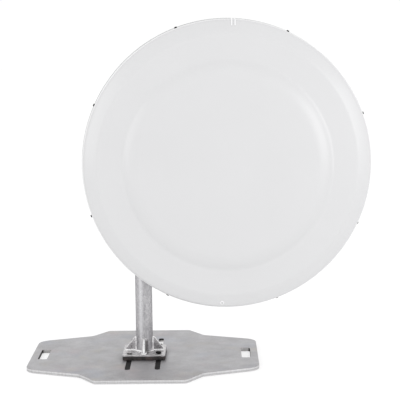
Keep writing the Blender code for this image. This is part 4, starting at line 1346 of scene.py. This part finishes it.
class ANTENNA_OT_hub(Operator):
    """Model the cast hub ring and the bolts on it"""

    bl_idname = "antenna.hub"
    bl_label = "Hub"

    def execute(self, context):
        front = [bowl(radius, REFLECTOR_THICK + SEAT_GAP) for radius in spaced(HUB_BORE, HUB_RADIUS, 12)]
        inner, outer, step = HUB_BORE + HUB_RIM, HUB_RADIUS - HUB_RIM, -HUB_BACK + HUB_STEP
        profile = front + [
            (front[-1][0], -HUB_BACK, 2 * MM), (outer, -HUB_BACK, MM), (outer, step, 1.5 * MM),
            (inner, step, 1.5 * MM), (inner, -HUB_BACK, MM), (front[0][0], -HUB_BACK, MM),
        ]
        ring = put(turned("hub", profile, segments=120), dish_place())
        stand_in(ring, "hub_ring", *CASTING)

        small = bolt("hub_bolt", flats=10 * MM, head=4 * MM, radius=3 * MM, length=6 * MM, thin=1.2 * MM)
        seat, count = at(0, HUB_RADIUS - HUB_RIM / 2, -HUB_BACK) @ turn(pi, "X"), 8
        turns = [turn((i + 0.5) * 2 * pi / count, "Z") for i in range(count)]
        bolts = [copied(small, "hub_bolt", dish_place() @ round_hub @ seat) for round_hub in turns]
        large = bolt("web_bolt", flats=16 * MM, head=6.4 * MM, radius=5 * MM, length=9 * MM)
        middle = head_place() @ at(settings("dish").offset, hub_front() + WALL, settings("dish").height)
        across, upward = 41 * MM, 62 * MM
        for x in (-across, across):
            for z in (-upward, upward):
                bolts.append(copied(large, "web_bolt", middle @ at(x, 0, z) @ turn(-pi / 2, "X")))
        bpy.data.objects.remove(small)
        bpy.data.objects.remove(large)
        dress(joined(*bolts), "hub_bolts", "stainless_steel", machined_stainless)
        return {"FINISHED"}


class ANTENNA_OT_feed_boss(Operator):
    """Model the feed's rear flange and the rubber cover of its port"""

    bl_idname = "antenna.feed_boss"
    bl_label = "Feed flange and port cover"

    def execute(self, context):
        neck, radius, bore, back = 49.5 * MM, 45 * MM, 18 * MM, 205 * MM
        top, soft, groove = bowl(BORE_RADIUS)[1], 1.5 * MM, radius - 5 * MM
        profile = [
            (bore, top), (neck, top), (neck, -HUB_BACK + 2 * MM, MM), (radius, -HUB_BACK, MM),
            (radius, -192 * MM, soft), (groove, -193 * MM, soft), (groove, -197 * MM, soft),
            (radius, -198 * MM, soft), (radius, -back, 2 * MM), (bore, -back, MM),
        ]
        boss = put(turned("boss", profile, segments=96), dish_place())
        stand_in(boss, "feed_boss", *CASTING)

        seat, wide = -back - SEAT_GAP, 30 * MM
        face = seat - 4 * MM
        dish = face + 1.2 * MM
        cover = [
            (0.0, seat), (wide, seat), (wide, face, 1.6 * MM), (wide - 7 * MM, face, MM),
            (wide - 9 * MM, dish, MM), (0.0, dish),
        ]
        lid = put(turned("cover", cover, segments=72), dish_place())
        stand_in(lid, "port_cover", *RUBBER)
        return {"FINISHED"}


class ANTENNA_OT_reflector(Operator):
    """Model the spun reflector with its lip and rim flange"""

    bl_idname = "antenna.reflector"
    bl_label = "Reflector"

    def execute(self, context):
        flange, lip, lip_front = 480.3 * MM, 474.2 * MM, 23.5 * MM
        lip_in, rim_back = lip - REFLECTOR_THICK, -RIM_BACK - REFLECTOR_THICK
        radii = spaced(BORE_RADIUS, REFLECTOR_RADIUS, 32)
        face = [bowl(radius) for radius in radii]
        rear = [bowl(radius, REFLECTOR_THICK) for radius in radii[:-1]]
        rim = [
            (lip_in, -RIM_BACK, 2 * MM), (lip_in, lip_front), (lip, lip_front, 0.8 * MM),
            (lip, -RIM_BACK, 1.5 * MM), (flange, -RIM_BACK, 1.0 * MM), (flange, rim_back, 1.0 * MM),
            (REFLECTOR_RADIUS + REFLECTOR_THICK, rim_back, 2 * MM),
        ]
        shell = turned("reflector_shell", face + rim + rear[::-1], settings("dish").rim_segments)
        put(shell, dish_place())
        stand_in(shell, "reflector", "spun", "painted_reflector", painted_spun_aluminium)
        return {"FINISHED"}


class ANTENNA_OT_radome(Operator):
    """Model the moulded radome with its rim mark and drain plug"""

    bl_idname = "antenna.radome"
    bl_label = "Radome"

    def execute(self, context):
        dish = settings("dish")
        middle, droop = 95 * MM, 0.133
        dome = [(radius, middle - droop * radius * radius) for radius in spaced(280 * MM, 0.0, 14)]
        profile = [
            (dish.skirt_radius, SEAT_GAP - RIM_BACK), (dish.skirt_radius, 42.2 * MM, 11 * MM),
            *mm((430.2, 60, 4), (346, 65.5, 6), (315.3, 81.8, 22)), *dome,
        ]
        shell = modified(
            turned("radome_shell", profile, dish.rim_segments), "SOLIDIFY", thickness=3 * MM, offset=-1.0
        )
        drain = at(-2.6 * MM, -460 * MM, 48.7 * MM) @ turn(radians(20.6), "X")
        hole = put(drill((0, 0, 0), "Z", reach=8 * MM, radius=3.2 * MM, vertices=24), drain)
        smoothed(shaped(shell, "DIFFERENCE", hole), radians(50))
        stand_in(shell, "radome", "moulding", "radome_plastic", moulded_white_abs, moulded_white_abs_lit_skirt)
        # The skirt's faces take the lit copy of the white: painted light
        painted(shell, lambda face: face.calc_center_median().xy.length > SKIRT_EDGE)
        put(shell, dish_place())

        rib_view = mm(
            (479.4, 2), (479.4, 32, 3), (475.8, 42.5, 4), (468.6, 48.8, 4), (456, 52.6), (456, 48.5), (466, 44.5),
            (474, 38), (475.5, 30), (475.5, 2),
        )
        starts = (-5 * MM, 5.8 * MM)
        ribs = [softened(slab("rib", rib_view, 3.2 * MM, at(x, 0, 0) @ ALONG_X), width=0.7 * MM) for x in starts]
        mark = put(smoothed(joined(*ribs)), dish_place())
        dress(mark, "rim_mark", "radome_plastic", moulded_white_abs_fittings)

        collar = mm((0, -3.2), (2.9, -3.2, 0.5), (3.2, 1.8, 0.6), (5.8, 1.8, 0.8), (7, 0.2, 0.3), (7, -4), (0, -4))
        plug = put(turned("grommet", collar, segments=40), dish_place() @ drain)
        dress(plug, "drain_grommet", "radome_plastic", moulded_white_abs_plug)
        return {"FINISHED"}


class ANTENNA_OT_rim_screws(Operator):
    """Model one rim screw and copy it round the radome's skirt"""

    bl_idname = "antenna.rim_screws"
    bl_label = "Rim screws"

    def execute(self, context):
        first = bolt("rim_screw", flats=8 * MM, head=3.3 * MM, radius=2 * MM, length=4 * MM, thin=1.1 * MM)
        seat = settings("dish").skirt_radius + 0.1 * MM
        before_rim = 17 * MM
        outward = at(0, seat, before_rim) @ turn(-pi / 2, "X")
        for i in range(SCREWS):
            node = f"rim_screw_{i + 1}"
            screw = copied(first, node, dish_place() @ turn(-(i + 0.5) * 2 * pi / SCREWS, "Z") @ outward)
            stand_in(screw, node, *BLACKENED)
        bpy.data.objects.remove(first)
        return {"FINISHED"}


class ANTENNA_OT_stage(Operator):
    """Make the pale floor, the soft studio lights and the camera"""

    bl_idname = "antenna.stage"
    bl_label = "Stage"

    def execute(self, context):
        stage, scene = settings("stage"), context.scene
        floor = primitive("plane", "floor", size=60, location=(0, 0, -0.5 * MM))
        floor.data.materials.append(pale_floor())
        floor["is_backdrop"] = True

        # White surroundings, lit by direction, with a plain backdrop for the camera
        scene.world = bpy.data.worlds.new("white_surroundings")
        scene.world.use_nodes = True
        tree = scene.world.node_tree
        add = partial(add_node, tree)
        way = add("SeparateXYZ", {"Vector": add("TexCoord", out="Generated")}).node.outputs
        level = stage.side
        for axis, low, high, strength in (
            ("Y", -0.2, -0.6, stage.front), ("Y", 0.2, 0.6, stage.back), ("Z", 0.5, 0.75, stage.top),
        ):
            share = add(
                "MapRange", {"Value": way[axis], "From Min": low, "From Max": high}, interpolation_type="SMOOTHSTEP"
            )
            level = add("Mix", {0: share, 2: level, 3: strength}, data_type="FLOAT")
        seen = add("LightPath", out="Is Camera Ray")
        background = tree.nodes["Background"].inputs
        feed(tree, background["Color"], "#ffffff")
        feed(tree, background["Strength"], add("Mix", {0: seen, 2: level, 3: stage.backdrop}, data_type="FLOAT"))

        target = Vector((0.15, -0.2, 0.55))
        for name, place, wide, tall, power in (
            ("key_light", (2.8, -2.5, 1.25), 1.2, 1.6, stage.key),
            ("fill_light", (-2.3, -2.5, 1.45), 0.8, 2.2, stage.fill),
            ("rim_light", (-2.4, 1.6, 2.8), 1.8, 1.8, stage.rim),
        ):
            bpy.ops.object.light_add(type="AREA", location=place)
            light = context.object
            light.name = name
            light.rotation_euler = (target - Vector(place)).to_track_quat("-Z", "Y").to_euler()
            light.data.shape = "RECTANGLE"
            light.data.size, light.data.size_y = wide, tall
            light.data.energy = power

        bpy.ops.object.camera_add()
        camera = context.object
        camera.name = "camera"
        camera.data.lens, camera.data.sensor_width = stage.lens, 36
        # The camera's place and turn, solved from the object's outline in the photograph
        eye = (0.2374, -4.3859, 1.1879)
        pitch, roll, yaw = radians(7.9375), radians(0.6716), radians(-0.4107)
        forward = Vector((sin(yaw) * cos(pitch), cos(yaw) * cos(pitch), -sin(pitch)))
        right = Vector((cos(yaw), -sin(yaw), 0.0))
        up = right.cross(forward)
        axes = (right * cos(roll) - up * sin(roll), up * cos(roll) + right * sin(roll), -forward)
        camera.matrix_world = at(*eye) @ Matrix(axes).transposed().to_4x4()
        scene.camera = camera
        scene.view_settings.view_transform = "Standard"
        return {"FINISHED"}


class ANTENNA_PT_sidebar(Panel):
    bl_label = "Dish antenna"
    bl_idname = "ANTENNA_PT_sidebar"
    bl_space_type = "VIEW_3D"
    bl_region_type = "UI"
    bl_category = "Antenna"

    def draw(self, context):
        for operator in OPERATORS:
            self.layout.operator(operator.bl_idname)


OPERATORS = (
    ANTENNA_OT_ground_plate, ANTENNA_OT_slide_bars, ANTENNA_OT_flange_pad, ANTENNA_OT_mast_flange,
    ANTENNA_OT_gussets, ANTENNA_OT_foot_welds, ANTENNA_OT_flange_bolts, ANTENNA_OT_mast_tube,
    ANTENNA_OT_pipe_bracket, ANTENNA_OT_saddles, ANTENNA_OT_u_bolts, ANTENNA_OT_azimuth_arm,
    ANTENNA_OT_azimuth_bolts, ANTENNA_OT_elevation_bracket, ANTENNA_OT_elevation_bolts, ANTENNA_OT_hub,
    ANTENNA_OT_feed_boss, ANTENNA_OT_reflector, ANTENNA_OT_radome, ANTENNA_OT_rim_screws, ANTENNA_OT_stage,
)

CLASSES = (
    GroundSettings, MastSettings, DishSettings, FinishSettings, StageSettings, AntennaSettings, *OPERATORS,
    ANTENNA_PT_sidebar,
)


def register():
    for item in CLASSES:
        bpy.utils.register_class(item)
    bpy.types.Scene.antenna_settings = PointerProperty(type=AntennaSettings)


def unregister():
    del bpy.types.Scene.antenna_settings
    for item in reversed(CLASSES):
        bpy.utils.unregister_class(item)


def main():
    register()
    for operator in OPERATORS:
        group, name = operator.bl_idname.split(".")
        getattr(getattr(bpy.ops, group), name)()
    boxes = {"cad": CAD_BOX, "visual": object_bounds()}
    {name: [list(corner) for corner in box] for name, box in boxes.items()}


if __name__ == "__main__":
    main()
